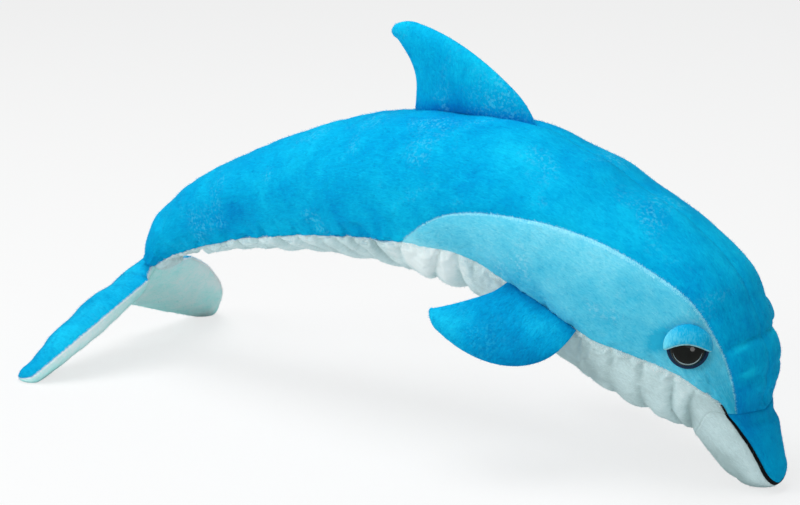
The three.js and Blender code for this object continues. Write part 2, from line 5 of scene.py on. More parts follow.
import bmesh
import bpy
import numpy as np
from mathutils import Matrix, Vector


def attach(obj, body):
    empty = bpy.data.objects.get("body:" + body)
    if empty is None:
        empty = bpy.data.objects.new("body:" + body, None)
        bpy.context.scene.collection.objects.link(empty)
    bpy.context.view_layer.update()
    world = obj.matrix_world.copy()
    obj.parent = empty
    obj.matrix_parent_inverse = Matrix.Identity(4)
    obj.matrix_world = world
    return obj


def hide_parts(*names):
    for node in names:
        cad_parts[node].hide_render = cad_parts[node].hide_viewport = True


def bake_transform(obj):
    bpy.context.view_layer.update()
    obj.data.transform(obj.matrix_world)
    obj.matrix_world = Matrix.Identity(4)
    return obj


# A plush dolphin, sewn from soft panels. The shapes are worked out in millimetres in the dolphin's own pose,
# with +X along the body, and are then stood in the frame, in metres.
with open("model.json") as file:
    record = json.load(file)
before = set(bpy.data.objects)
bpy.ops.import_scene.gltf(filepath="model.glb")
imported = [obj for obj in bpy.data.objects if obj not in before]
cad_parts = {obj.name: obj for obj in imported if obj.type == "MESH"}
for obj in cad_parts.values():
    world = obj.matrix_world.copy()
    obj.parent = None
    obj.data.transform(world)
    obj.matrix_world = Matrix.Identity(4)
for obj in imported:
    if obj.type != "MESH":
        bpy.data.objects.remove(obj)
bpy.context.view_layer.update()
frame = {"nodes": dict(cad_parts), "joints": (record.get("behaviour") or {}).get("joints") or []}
SCENE = bpy.context.scene
RNG = np.random.default_rng(11)
MM = 0.001
SIDES = (("right", 1), ("left", -1))

# The body along its spine: the distance on from the station before, the slope of the spine in degrees, and
# how far the body reaches above, below and beside it
STATIONS = np.array([
    (0, 60, 7, 11, 15),
    (38, 44, 13.5, 18, 17),
    (54, 22, 24.5, 28, 25),
    (70, 14.5, 35.5, 38.5, 35),
    (70, 7, 48, 49.5, 45),
    (70, -3, 53, 56, 50),
    (60, -20, 55.5, 62, 53),
    (60, -26, 56.5, 65, 54),
    (40, -36, 51, 60, 49),
    (28, -47, 39, 50, 41),
    (16, -53, 29.5, 44, 35),
    (9, -56, 22, 40, 29.5),
    (7, -57.5, 15.5, 37, 26.5),
    (14, -60, 15, 32, 22),
    (20, -61, 10, 21, 15.5),
])
BEAK_TIP = 14
BEAK_LENGTH = 37
PATCH_LENGTH = 248
TAIL_END = 20
TAIL_CAP = 9
CLOTH_DEPTH = 8
FLOOR_GAP = 0.2
PILE_ROOM = 0.5

# The beak's crease leans along the body as it goes round: angle from the back, and distance further along
BEAK_LEAN = [(0, 7), (40, 4), (73, 0), (95, -5), (120, 0), (150, 4), (180, 5)]
BEAK_LEAN_REACH = 28

# Seam lines on the body: distance along the spine from where each starts, and angle round it from the back
BELLY_SEAM = [
    (0, 138), (14, 144), (30, 148), (68, 142.5), (103, 135.5), (160, 130), (256, 118.5), (313, 113),
    (398, 111), (446, 99), (480, 84), (494, 74.5), (499, 73),
]
PATCH_EDGE = [
    (0, 119), (5, 114.5), (13, 107.5), (21, 101), (32, 93.5), (39, 89.5), (59, 81), (77, 74), (107, 63),
    (137, 55), (169, 50), (195, 46), (219, 46.5), (243, 54), (248, 56),
]
MOUTH_LINE = [(0, 73), (21, 69), (37, 67.5), (51, 66)]

# How deep and wide each seam pulls the plush in
BACK_GROOVE = (0.9, 6)
BELLY_GROOVE = (1.7, 7)
PATCH_GROOVE = (1.5, 7)
BEAK_GROOVE = (1.6, 7)
MOUTH_GROOVE = (1.2, 4)
# The patch's edge slants, so the way across it is shorter than the way round the body
PATCH_SLANT = 0.85
# The back's groove is deeper by the fin. The beak's is shallow on the cheek, and ends before the belly.
FIN_GROOVE = 2.6
FIN_GROOVE_END = 8
CHEEK_GROOVE = 0.4
CHEEK_TURNS = (10, 55)
BEAK_GROOVE_TURNS = (70, 95)

# Folds across the white gusset: distance along at the seam, lean along for each millimetre from the seam,
# depth and width
BELLY_FOLDS = [
    (30, 0.2, 2.4, 2.2), (48, 0.3, 3.0, 2.2), (61, 0.3, 2.2, 2.2), (75, 0.4, 3.6, 2.2), (92, 0.4, 2.8, 2.2),
    (109, 0.5, 4.4, 2.4), (131, 0.4, 2.4, 3), (150, 0.5, 4.4, 2.4), (172, 0.5, 4.8, 2.4), (190, 0.4, 2.4, 3),
    (207, 0.4, 3.8, 2.4), (223, 0.3, 4.8, 2.4), (245, 0.1, 4.6, 2.6), (268, -0.2, 2.0, 3),
    (304, -0.6, 4.2, 2.6), (316, -0.2, 5.6, 2.4), (333, 0, 1.8, 3), (429, 0.1, 2.4, 4), (447, 0.2, 2.0, 4),
    (466, 0.4, 2.6, 3.4), (484, 0.5, 6.4, 2.6), (498, 0.4, 5.4, 2.6),
]
# How far from the seam those folds set in and end, on the belly and on the throat, and where it changes
FOLD_START = (2.5, 16.5, 400, 450)
FOLD_END = (26, 44, 440, 480)
FOLD_FADE = 46
CHIN_FADE = 16

# Puckers in the blue above that seam: distance along, depth and width
BACK_PUCKERS = [
    (34, 1.2, 2.6), (47, 1.5, 2.6), (60, 1.0, 2.6), (76, 1.2, 2.6), (89, 1.6, 3), (106, 1.5, 2.6),
    (123, 1.7, 2.6), (146, 1.7, 3), (161, 1.1, 2.6), (176, 1.4, 2.6), (195, 1.0, 2.6), (212, 1.5, 2.8),
    (225, 1.7, 2.8), (241, 1.5, 2.6), (256, 1.1, 2.6), (266, 1.2, 2.6),
]
PUCKER = SimpleNamespace(start=2, reach=13, last=(-6, 8))
# Small creases along that seam, drawn at random
GATHERS = SimpleNamespace(start=24, end=515, pitch=6.5, stray=(-2.4, 2.4), depth=(0.15, 0.6),
                          width=(1.3, 2.4), reach=6)
# Wrinkles across the forehead: distance along, depth and width
MELON_WRINKLES = [(478, 0.8, 4), (493, 3.5, 2.4), (506.5, 2.4, 2.2), (514, 1.2, 2.4)]
WRINKLE_TURNS = (20, 66)
WRINKLE_LEAN = 0.06
# Fuller and flatter places: distance along, angle from the back, height, and reach along and round
SWELLS = [
    (42, 0, 2.6, 12, 60), (15, 0, -5.0, 9, 70), (64, 178, 3.0, 42, 42), (150, 165, 1.2, 12, 40),
    (212, 165, 0.6, 12, 40), (220, 5, -1.4, 36, 50), (290, 155, 2.6, 12, 40), (374, 20, 2.2, 16, 45),
    (464, 28, 2.6, 20, 42), (502, 30, 1.6, 8, 46), (545, 120, 1.8, 12, 40), (543, 20, -2.0, 13, 60),
    (568, 20, -1.5, 10, 80), (125, 160, 2.8, 70, 40), (260, 156, 1.4, 14, 30), (311, 150, -4.2, 10, 26),
    (421, 142, -3.0, 11, 26), (478, 150, 1.2, 14, 30), (552, 147, 2.2, 9, 30), (526, 20, -2.8, 5, 60),
    (100, 160, 1.0, 50, 40), (222, 155, -1.4, 14, 30), (338, 0, 3.0, 22, 18), (504, 146, -2.4, 7, 24),
    (519, 132, 1.6, 4, 20),
]
LARGE_LUMP = 0.5
SMALL_LUMP = 0.28

# Where the pile was stroked lighter or darker, and where light and shade are painted on: painted shadow
# beside the lid, painted shade on the chin and throat, and painted light on the belly where the body shades
# it.
# Columns: distance along, angle from the back, amount, and reach along and round. On a limb: share out from
# the root, side from -1 to 1, amount, and reach outwards and sideways.
STROKES_AND_PAINTED_LIGHT = [
    (330, 40, 0.3, 50, 20), (120, 100, -0.4, 70, 20), (440, 20, 0.3, 50, 30), (455, 92, -0.3, 34, 30),
    (505, 66, -0.35, 26, 26), (493, 30, 1.25, 1.3, 12), (503, 31, 1.2, 1.2, 11), (466, 79, -2.0, 4.5, 10),
    (286, 130, 1.8, 24, 18), (548, 140, -1.9, 18, 25), (418, 128, -1.5, 28, 22), (540, 110, 0.2, 20, 40),
    (313, 124, 1.2, 14, 12), (412, 20, -0.5, 22, 16), (430, 92, -0.4, 16, 9),
]
# Painted shade in the creases of the gusset's folds, for each millimetre of their depth
FOLD_SHADE = 0.26
# On the fin: a paler tip, a painted highlight along the leading edge, and painted shade along the root
FIN_STROKES_AND_PAINTED_LIGHT = [
    (1, 0, 0.4, 0.3, 1.6), (0.45, 1, 0.6, 0.4, 0.3), (0.35, -0.2, 0.1, 0.3, 0.8), (0, 0, -1.2, 0.07, 2),
]
# On a flipper: a paler tip, a painted highlight near the root's front, and painted shade over the middle,
# the leading edge and the root
FLIPPER_STROKES_AND_PAINTED_LIGHT = [
    (0.9, 0, 0.25, 0.25, 1.6), (0.12, 0.5, 0.5, 0.18, 0.5), (0.45, 0.2, -0.5, 0.25, 0.7),
    (0.45, 1, -0.6, 0.35, 0.4), (0, 0, -0.6, 0.06, 2),
]
# On a fluke: a paler band on the top, and painted light on the under sheet along its lit edge and over its
# middle
FLUKE_STROKES_AND_PAINTED_LIGHT = {
    "top": [(0.6, 0.8, 0.7, 0.7, 0.6)],
    "under": [(0.6, 1, 0.7, 0.7, 0.3), (0.5, -0.2, 0.5, 0.9, 0.9)],
}

# The dorsal fin and a flipper, as curves from the root to the tip
LIMB_EDGE = 1.8
SEAM_GAP = 0.3
FIN = SimpleNamespace(
    start=259,
    sewn=72,
    leading=[(89, 0), (64.5, 21.5), (27.5, 47), (-13, 48.8)],
    trailing=[(-2.5, 0), (1.5, 14), (-4.5, 27), (-21, 41)],
    swell=5.2,
    cap_start=0.88,
)
FLIPPER = SimpleNamespace(
    middle=384.5,
    sewn=67,
    rear_angle=112.5,
    front_angle=111.5,
    droop=45,
    leading=[(33.5, 0), (39, 29), (9, 53.5), (-40.5, 43.5)],
    trailing=[(-20, 0), (-23.5, 8.5), (-34.5, 24.5), (-46, 37)],
    swell=5,
    cap_start=0.95,
)
# A fluke blade: its turns, its edges as share of the span, distance out and distance forward, and its lumps
# as share of the span, height and reach
FLUKE = SimpleNamespace(
    drop=1,
    toe=29,
    pitch=29,
    droop=31,
    leading=[(0, -0.6, 1.8), (0.12, 16, 4), (0.2, 23, 14), (0.35, 42, 14.5), (0.55, 68, 10.5), (0.78, 99, 0),
             (0.93, 118, -13), (1, 124, -21)],
    trailing=[(0, 22.3, -45), (0.12, 29, -49), (0.2, 35, -50.5), (0.35, 53, -45.5), (0.55, 77, -38),
              (0.78, 101, -33), (0.93, 117, -29), (1, 123, -26)],
    rows=90,
    swell=7,
    taper=0.3,
    seam_drop={"right": 5.7, "left": 3.2},
    seam_from={"right": (0, 0.2), "left": (0.25, 0.55)},
    under_seam=0.4,
    top_lumps=[(0.74, -0.12, 0.05), (0.45, 0.12, 0.16), (0, -0.3, 0.07), (0.85, -0.1, 0.06)],
    ripple=0.05,
    ripples=21,
    thin_end=(0.3, 0.72, 1),
    under_lumps=[(0.2, -0.25, 0.15)],
    belly=[(0.6, 0.7, 0.25)],
    roundness=0.55,
    lump=0.5,
    ridge=4,
    ridge_share=0.2,
    cap_start=0.91,
    cap_end=0.985,
    bend_end=(-14, 0, -12),
)

# An eye: its place, the turn of its lid, and its sizes, with profiles as radius and height
EYE = SimpleNamespace(
    behind_mouth=40,
    angle=68,
    lid_turn=50,
    bead_radius=10.5,
    bead_height=6.2,
    stem=[(0, -8), (2.4, -8), (2.4, -0.4), (9.5, -0.4)],
    felt=[(2.6, -0.4), (10, -0.4), (11.6, -0.2), (12.2, -0.5), (12.3, -1.4), (11, -2), (2.6, -1.6),
          (2.6, -0.4)],
    pupil_radius=8.4,
    rim=0.4,
    rim_end=0.04,
    rim_shape=0.7,
    rim_turns=(-166, -8, 50),
    cord_sides=8,
    dome_rows=14,
    sink=1.2,
    socket_depth=3,
    socket=(9, 19),
)
LID = SimpleNamespace(
    radius=15.1,
    crown=14.8,
    height=8.8,
    thickness=3.2,
    rise=6.8,
    corner_drop=0.4,
    tuck=-40,
    hem=0.55,
    hem_turn=0.11,
    hem_inset=0.6,
    hem_ends=0.04,
    hem_steps=60,
    fullness=0.4,
    lump=0.25,
    lump_scale=1.4,
    nap=(0.6, 0.45),
    pale_corner=1.1,
    rows=32,
    roll_rows=11,
    columns=49,
)
MOUTH_CORD = SimpleNamespace(past_corner=5, corner=0.5, width=1.35, widening=0.6, corner_height=0.45,
                             height=0.9, proud=0.5, step=0.5, tip_rows=30, twist=2.6, braid=0.14, sides=12)

# The camera, in the dolphin's own pose, and the lamps, in metres: place, size, power and colour
CAMERA = SimpleNamespace(azimuth=36, elevation=16, distance=1700, target=(213.8, 0, 49.9), lens=121.43,
                         sensor=36, nearest=0.05)
LAMPS = {
    "top": ((-0.15, -0.2, 2.0), 1.5, 26, (1, 1, 1)),
    "left": ((-1.0, -1.6, 1.2), 1.2, 16, (1, 1, 1)),
    "front": ((1.1, -1.5, 0.6), 1.0, 3.4, (0.8, 0.95, 1.0)),
}
LAMPS_AIM = (0.0, 0.0, 0.1)
CATCHLIGHT = SimpleNamespace(place=(0.507, -0.327, 0.07), aim=(0.225, -0.044, 0.092), size=0.13, power=0.5)


class Smooth:
    """A smooth curve through knots that never overshoots them."""

    def __init__(self, x, y):
        self.x = np.asarray(x, float)
        self.y = np.asarray(y, float)
        slopes = np.diff(self.y) / np.diff(self.x)
        before, after = slopes[:-1], slopes[1:]
        same_way = before * after > 0
        total = np.where(same_way, before + after, 1)
        inner = np.where(same_way, 2 * before * after / total, 0)
        self.tangents = np.concatenate([slopes[:1], inner, slopes[-1:]])

    def __call__(self, at):
        i = np.clip(np.searchsorted(self.x, at, side="right") - 1, 0, len(self.x) - 2)
        span = self.x[i + 1] - self.x[i]
        t = np.clip((at - self.x[i]) / span, 0, 1)
        bend = (1 - t) ** 2 * t * self.tangents[i] - t**2 * (1 - t) * self.tangents[i + 1]
        return self.y[i] + (self.y[i + 1] - self.y[i]) * t * t * (3 - 2 * t) + bend * span


TINY = 1e-9


def unit(vectors):
    return vectors / np.maximum(np.linalg.norm(vectors, axis=-1, keepdims=True), TINY)


def fade(value, start, end):
    """1 up to start, falling smoothly to 0 at end."""
    t = np.clip((value - start) / (end - start), 0, 1)
    return 1 - t * t * (3 - 2 * t)


def bump(value, at, reach):
    """A soft hill, 1 high at its middle."""
    return np.exp(-(((value - at) / reach) ** 2))


def hills(first, second, table):
    """Sum of soft hills: each has its place in two directions, its height, and its reach in both."""
    return sum(height * bump(first, at, reach) * bump(second, side, reach_aside)
               for at, side, height, reach, reach_aside in table)


def rounding(count):
    """Shares of the way to a round end, closer together towards it."""
    return np.sin(np.linspace(0, math.pi / 2, count))[1:]


STATIONS_ALONG = np.cumsum(STATIONS[:, 0])
TIP_START = STATIONS_ALONG[-1]
TIP_END = TIP_START + BEAK_TIP
TAIL_START = TAIL_END - TAIL_CAP
BEAK_CREASE = TIP_START - BEAK_LENGTH
PATCH_REAR = BEAK_CREASE - PATCH_LENGTH
slope_at, above_at, below_at, side_at = [Smooth(STATIONS_ALONG, column) for column in STATIONS.T[1:]]


def seam_curve(knots, start):
    along, angle = np.array(knots, float).T
    return Smooth(start + along, angle)


belly_seam = seam_curve(BELLY_SEAM, TAIL_END)
patch_edge = seam_curve(PATCH_EDGE, PATCH_REAR)
mouth_line = seam_curve(MOUTH_LINE, BEAK_CREASE)
beak_lean = seam_curve(BEAK_LEAN, 0)

# The spine's points, one to each millimetre of its length
spine_steps = np.radians(slope_at(np.arange(0.5, TIP_END)))
SPINE = np.vstack([
    np.zeros(3),
    np.cumsum(np.stack([np.cos(spine_steps), 0 * spine_steps, np.sin(spine_steps)], 1), 0),
])


def from_the_back(angle):
    return np.abs((angle + 180) % 360 - 180)


def spine_at(along):
    return np.stack([np.interp(along, np.arange(len(SPINE)), SPINE[:, k]) for k in range(3)], -1)


def skin(along, angle, depth=0.0):
    """Points of the body before its folds: angle 0 is the back, 180 the belly, positive on the right."""
    along, angle = np.broadcast_arrays(np.asarray(along, float), np.asarray(angle, float))
    near_crease = fade(np.abs(along - BEAK_CREASE), 0, BEAK_LEAN_REACH)
    along = along + near_crease * beak_lean(from_the_back(angle))
    tip = np.clip((along - TIP_START) / BEAK_TIP, 0, 1)
    tail = np.clip((TAIL_END - along) / TAIL_CAP, 0, 1)
    reach = along - tip * depth + tail * depth
    narrowing = np.sqrt(1 - np.maximum(tip, tail) ** 2)
    slope = np.radians(slope_at(reach))
    cosine = np.cos(np.radians(angle))
    height = (np.where(cosine > 0, above_at(reach), below_at(reach)) - depth) * cosine * narrowing
    width = (side_at(reach) - depth) * np.sin(np.radians(angle)) * narrowing
    return spine_at(reach) + np.stack([-np.sin(slope) * height, -width, np.cos(slope) * height], -1)


# Half steps along and round the body that show which way its skin faces, and how far from its ends they stay
STEP_ALONG = 0.4
STEP_ROUND = 0.5
END_MARGIN = 0.5


def outward(along, angle):
    along = np.clip(along, TAIL_START + END_MARGIN, TIP_END - END_MARGIN)
    lengthwise = skin(along + STEP_ALONG, angle) - skin(along - STEP_ALONG, angle)
    around = skin(along, angle + STEP_ROUND) - skin(along, angle - STEP_ROUND)
    return unit(np.cross(around, lengthwise))


def fluke_hinge():
    slope = math.radians(slope_at(TAIL_END))
    behind = np.array([-math.cos(slope), 0, -math.sin(slope)])
    below = np.array([math.sin(slope), 0, -math.cos(slope)])
    return spine_at(TAIL_END) + behind * (SEAM_GAP + LIMB_EDGE) + below * FLUKE.drop


def stand_transform():
    """Turn and shift from the dolphin's own pose to the frame, from the fin's and the flukes' joints."""
    joints = {joint["name"]: joint for joint in frame["joints"]}
    fin_start, fin_end = skin(np.array([FIN.start, FIN.start + FIN.sewn]), 0)
    own = math.atan2(fin_end[2] - fin_start[2], fin_end[0] - fin_start[0])
    axis = joints["fin_flop"]["axis"]
    turn = own - math.atan2(axis[2], axis[0])
    matrix = np.array(Matrix.Rotation(turn, 3, "Y"))
    shift = np.array(joints["fluke_bend"]["pos_m"]) / MM - matrix @ fluke_hinge()
    return matrix, shift


STAND_TURN, STAND_SHIFT = stand_transform()


def stood(points):
    """Points of the dolphin's own pose, placed in the frame in metres."""
    return (points @ STAND_TURN.T + STAND_SHIFT) * MM


def unstood(points):
    """Points of the frame, in metres, back in the dolphin's own pose."""
    return (points / MM - STAND_SHIFT) @ STAND_TURN


def above_floor(points):
    """The points in the dolphin's own pose, with what would sink into the floor pressed flat on it."""
    placed = stood(points)
    placed[..., 2] = np.maximum(placed[..., 2], FLOOR_GAP * MM)
    return unstood(placed)


# Relief of the plush on the body: seams, gathers, folds and lumps, in millimetres outwards
def waves(count, length, stretch=(0.7, 1.4), phases=(0, 7)):
    """Directions and phases of a soft, irregular swell of about that wavelength."""
    ways = unit(RNG.normal(size=(count, 3)))
    lengths = length * RNG.uniform(*stretch, (count, 1))
    return ways * (2 * math.pi / lengths), RNG.uniform(*phases, count)


def small_gathers():
    """Distance along, depth and width of each small crease."""
    along = np.arange(GATHERS.start, GATHERS.end, GATHERS.pitch)
    ranges = (GATHERS.stray, GATHERS.depth, GATHERS.width)
    stray, depth, width = [RNG.uniform(*limits, len(along)) for limits in ranges]
    return np.stack([along + stray, depth, width], 1)


LARGE_LUMPS = waves(count=9, length=46)
SMALL_LUMPS = waves(count=14, length=17)
SMALL_GATHERS = small_gathers()
EYE_ALONG = BEAK_CREASE - EYE.behind_mouth
EYE_CENTRES = [skin(EYE_ALONG, sign * EYE.angle) for _, sign in SIDES]


def lumps(points, swell):
    ways, phases = swell
    return np.sin(points @ ways.T + phases).mean(-1) * 2


def groove(distance, depth_and_width, sharpness=2.2):
    depth, width = depth_and_width
    return -depth * np.clip(1 - np.abs(distance) / width, 0, 1) ** sharpness


def crease(offset, depth, width, swell=0.4, swell_reach=3.2):
    """A sharp fold with a soft swelling on either side."""
    return -depth * (np.exp(-np.abs(offset) / width) - swell * bump(offset, 0, swell_reach * width))


def overlap(offset, depth, width, steep=0.45, gentle=2.2, swell=0.45, swell_at=-3, swell_reach=2.6):
    """A fold whose rear side is full to the edge and drops at once, as one pad lying over the next."""
    fall = np.where(offset < 0, np.exp(offset / (steep * width)), np.exp(-offset / (gentle * width)))
    return -depth * (fall - swell * bump(offset, swell_at * width, swell_reach * width))


def per_degree_at(along, angle):
    """Millimetres of the body's girth to a degree."""
    return np.linalg.norm(skin(along, angle + 1) - skin(along, angle - 1), axis=-1) / 2


def below_seam(along, angle):
    """How far below the belly's seam, or the mouth's, a place is."""
    seam = np.where(along < BEAK_CREASE, belly_seam(along), mouth_line(along))
    return (from_the_back(angle) - seam) * per_degree_at(along, angle)


def behind_chin(along):
    return fade(along, BEAK_CREASE, BEAK_CREASE + CHIN_FADE)


def belly_folds(along, angle):
    """The folds across the white gusset, which die away on the chin."""
    white = np.clip(below_seam(along, angle), 0, None)
    total = sum(overlap(along - at - lean * white, depth, width) for at, lean, depth, width in BELLY_FOLDS)
    start, end = [belly + (throat - belly) * (1 - fade(along, *change))
                  for belly, throat, *change in (FOLD_START, FOLD_END)]
    return total * (1 - np.exp(-white / start)) * fade(white, end, end + FOLD_FADE) * behind_chin(along)


def seam_grooves(along, turn, per_degree, from_belly):
    on_body = along < BEAK_CREASE
    half_fin = FIN.sewn / 2
    by_fin = fade(np.abs(along - FIN.start - half_fin), half_fin, half_fin + FIN_GROOVE_END)
    brow = CHEEK_GROOVE + (1 - CHEEK_GROOVE) * fade(turn, *CHEEK_TURNS)
    from_patch = (turn - patch_edge(along)) * per_degree * PATCH_SLANT
    from_mouth = (turn - mouth_line(along)) * per_degree
    return np.minimum.reduce([
        np.where(on_body, groove(turn * per_degree, BACK_GROOVE) * (1 + (FIN_GROOVE - 1) * by_fin), 0),
        np.where(on_body, groove(from_belly, BELLY_GROOVE), 0),
        np.where(on_body & (along > PATCH_REAR), groove(from_patch, PATCH_GROOVE), 0),
        groove(along - BEAK_CREASE, BEAK_GROOVE) * fade(turn, *BEAK_GROOVE_TURNS) * brow,
        np.where(on_body, 0, groove(from_mouth, MOUTH_GROOVE)),
    ])


def relief(along, angle):
    """How far the plush stands out from the skin."""
    turn = from_the_back(angle)
    from_belly = below_seam(along, angle)
    total = seam_grooves(along, turn, per_degree_at(along, angle), from_belly) - PILE_ROOM
    total += belly_folds(along, angle) + hills(along, turn, SWELLS)
    on_body = along < BEAK_CREASE
    above = np.clip(-from_belly, 0, None)
    puckered = np.exp(-above / PUCKER.reach) * (1 - np.exp(-above / PUCKER.start))
    puckered *= (from_belly <= 0) * on_body * fade(along - PATCH_REAR, *PUCKER.last)
    gathered = behind_chin(along) * np.exp(-np.abs(from_belly) / GATHERS.reach)
    wrinkled = fade(turn, *WRINKLE_TURNS) * on_body
    for share, lean, creases in ((puckered, 0, BACK_PUCKERS), (gathered, 0, SMALL_GATHERS),
                                 (wrinkled, WRINKLE_LEAN, MELON_WRINKLES)):
        for at, depth, width in creases:
            total += share * crease(along - at + lean * turn, depth, width)
    points = skin(along, angle)
    total += LARGE_LUMP * lumps(points, LARGE_LUMPS) + SMALL_LUMP * lumps(points, SMALL_LUMPS)
    for centre in EYE_CENTRES:
        distance = np.linalg.norm(points - centre, axis=-1)
        total -= EYE.socket_depth * fade(distance, *EYE.socket)
    return total


def raised(along, angle):
    """Points on the plush of the body."""
    return above_floor(skin(along, angle) + relief(along, angle)[..., None] * outward(along, angle))


# Meshes
WELD = 2e-6
SLIVER = 1e-7


def linked(name, data):
    """A new object in the scene."""
    thing = bpy.data.objects.new(name, data)
    SCENE.collection.objects.link(thing)
    return thing


def mesh_object(name, points, faces, material=None):
    """A mesh object from points of the dolphin's own pose."""
    mesh = bpy.data.meshes.new(name)
    mesh.from_pydata(stood(points.reshape(-1, 3)).tolist(), [], faces)
    if material is not None:
        mesh.materials.append(material)
    return linked(name, mesh)


def note_map(mesh, name, places):
    layer = mesh.uv_layers.new(name=name)
    layer.uv.foreach_set("vector", places.astype(np.float32).ravel())


def note_stroke(mesh, values):
    layer = mesh.attributes.new("stroke", "FLOAT", "POINT")
    layer.data.foreach_set("value", values.astype(np.float32).ravel())


def smooth_object(name, points, faces, material, uv=None, stroke=None, rim=0):
    """A mesh object that is turned outwards and smooth, but for its last faces, the rim."""
    thing = mesh_object(name, points, faces, material)
    mesh = thing.data
    mesh.polygons.foreach_set("use_smooth", np.arange(len(faces)) < len(faces) - rim)
    if uv is not None:
        note_stroke(mesh, stroke)
        corners = np.empty(len(mesh.loops), np.int32)
        mesh.loops.foreach_get("vertex_index", corners)
        note_map(mesh, "nap", uv.reshape(-1, 2)[corners])
    work = bmesh.new()
    work.from_mesh(mesh)
    bmesh.ops.remove_doubles(work, verts=work.verts, dist=WELD)
    bmesh.ops.dissolve_degenerate(work, edges=work.edges, dist=SLIVER)
    bmesh.ops.recalc_face_normals(work, faces=work.faces)
    work.to_mesh(mesh)
    work.free()
    return thing


def grid_faces(rows, columns, first=0, flip=False, wrap_rows=0, wrap_columns=0):
    """Quads of a grid of points, which can be closed on itself either way."""
    at = first + np.arange(rows * columns).reshape(rows, columns)
    at = np.pad(at, [(0, wrap_rows), (0, wrap_columns)], "wrap")
    quads = np.stack([at[:-1, :-1], at[:-1, 1:], at[1:, 1:], at[1:, :-1]], -1).reshape(-1, 4)
    return (quads[:, ::-1] if flip else quads).tolist()


# The pile: how many fibres to a square millimetre, or to a millimetre of a fringed edge, and their sizes
PILE = SimpleNamespace(density=0.55, length=1.9, width=0.26, rise=0.32, stray=0.3)
# The fringe's stroke is painted light: the fringed fibres are drawn paler, for the light glowing through
# them
FRINGE = SimpleNamespace(density=14, length=1.7, width=0.2, rise=0.4, stray=0.35, columns=3, lean=0.3,
                         stroke=0.6)
FIBRE_LENGTHS = (0.6, 1.2)
SPECKLE = 0.45
# The corners of a fibre in its own cell of the OFBake map
FIBRE_CELL = np.array([(0.15, 0.15), (0.85, 0.15), (0.5, 0.85)])


def strands(name, roots, ways, normals, kind, uv, stroke, material):
    """Short tapered fibres that stand on a surface and are shaded as it is."""
    count = len(roots)
    ways = unit(ways + normals * kind.rise + RNG.normal(0, kind.stray, (count, 3)))
    lengths = kind.length * RNG.uniform(*FIBRE_LENGTHS, (count, 1))
    sides = unit(np.cross(normals, ways)) * kind.width / 2
    corners = above_floor(np.stack([roots + sides, roots - sides, roots + ways * lengths], 1))
    thing = mesh_object(name, corners, np.arange(3 * count).reshape(-1, 3).tolist(), material)
    across = math.ceil(math.sqrt(count))
    cells = np.stack([np.arange(count) % across, np.arange(count) // across], 1)[:, None]
    note_map(thing.data, "nap", np.repeat(uv, 3, 0))
    note_map(thing.data, "OFBake", (cells + FIBRE_CELL) / across)
    note_stroke(thing.data, np.repeat(stroke + RNG.normal(0, SPECKLE, count), 3))
    thing.data.normals_split_custom_set_from_vertices(np.repeat(normals @ STAND_TURN.T, 3, 0).tolist())
    return thing


def pile(name, outer, inner, uv, stroke, colour, nap, fringed):
    """Fibres all over a sheet, lying along its nap, and more of them along its fringed edges."""
    corner = outer[:-1, :-1]
    across = outer[:-1, 1:] - corner
    down = outer[1:, :-1] - corner
    normal = np.cross(across, down)
    area = np.linalg.norm(normal, axis=-1)
    normal = unit(normal) * np.sign(np.sum(normal * (outer - inner)[:-1, :-1], -1, keepdims=True))
    lie = nap * unit(down)

    def rooted(word, cells, ways, kind, strokes_and_shade, material):
        shares = RNG.random((2, len(cells[0]), 1))
        roots = corner[cells] + across[cells] * shares[0] + down[cells] * shares[1]
        return strands(f"{name}_{word}", roots, ways[cells], normal[cells], kind, uv[cells], strokes_and_shade[cells],
                       PLUSH[f"{colour} {material}"])

    picked = RNG.choice(area.size, int(area.sum() * PILE.density), p=area.ravel() / area.sum())
    made = [rooted("pile", np.divmod(picked, area.shape[1]), lie, PILE, stroke, "plush")]
    for edge, way in fringed:
        lengths = np.linalg.norm(down[:, edge], axis=-1)
        row = RNG.choice(len(lengths), int(lengths.sum() * FRINGE.density), p=lengths / lengths.sum())
        column = edge - way * RNG.integers(0, FRINGE.columns, len(row))
        word = "upper_fringe" if edge == 0 else "lower_fringe"
        ways = way * unit(across) + FRINGE.lean * lie
        made.append(rooted(word, (row, column), ways, FRINGE, stroke + FRINGE.stroke, "fringe"))
        made[-1].visible_shadow = False
    return made


# The sewing: how much longer the cloth is cut than its seams, how far in the gathers reach, how firmly its
# ends and its middle are held, and how far it may move
SEWING = SimpleNamespace(frames=16, step=2, gather=0.3, reach=16, ease=0.4, hold=0.006, limit=5,
                         least_width=8)
CLOTH = {
    "quality": 6,
    "mass": 0.002,
    "tension_stiffness": 12,
    "compression_stiffness": 12,
    "shear_stiffness": 4,
    "bending_stiffness": 0.004,
    "air_damping": 2,
    "use_pressure": True,
    "uniform_pressure_force": 6,
    "vertex_group_mass": "held",
    "pin_stiffness": 1,
    "vertex_group_shrink": "plain",
    "shrink_min": -SEWING.gather,
}


def coarser(count):
    return np.unique(np.append(np.arange(0, count, SEWING.step), count - 1))


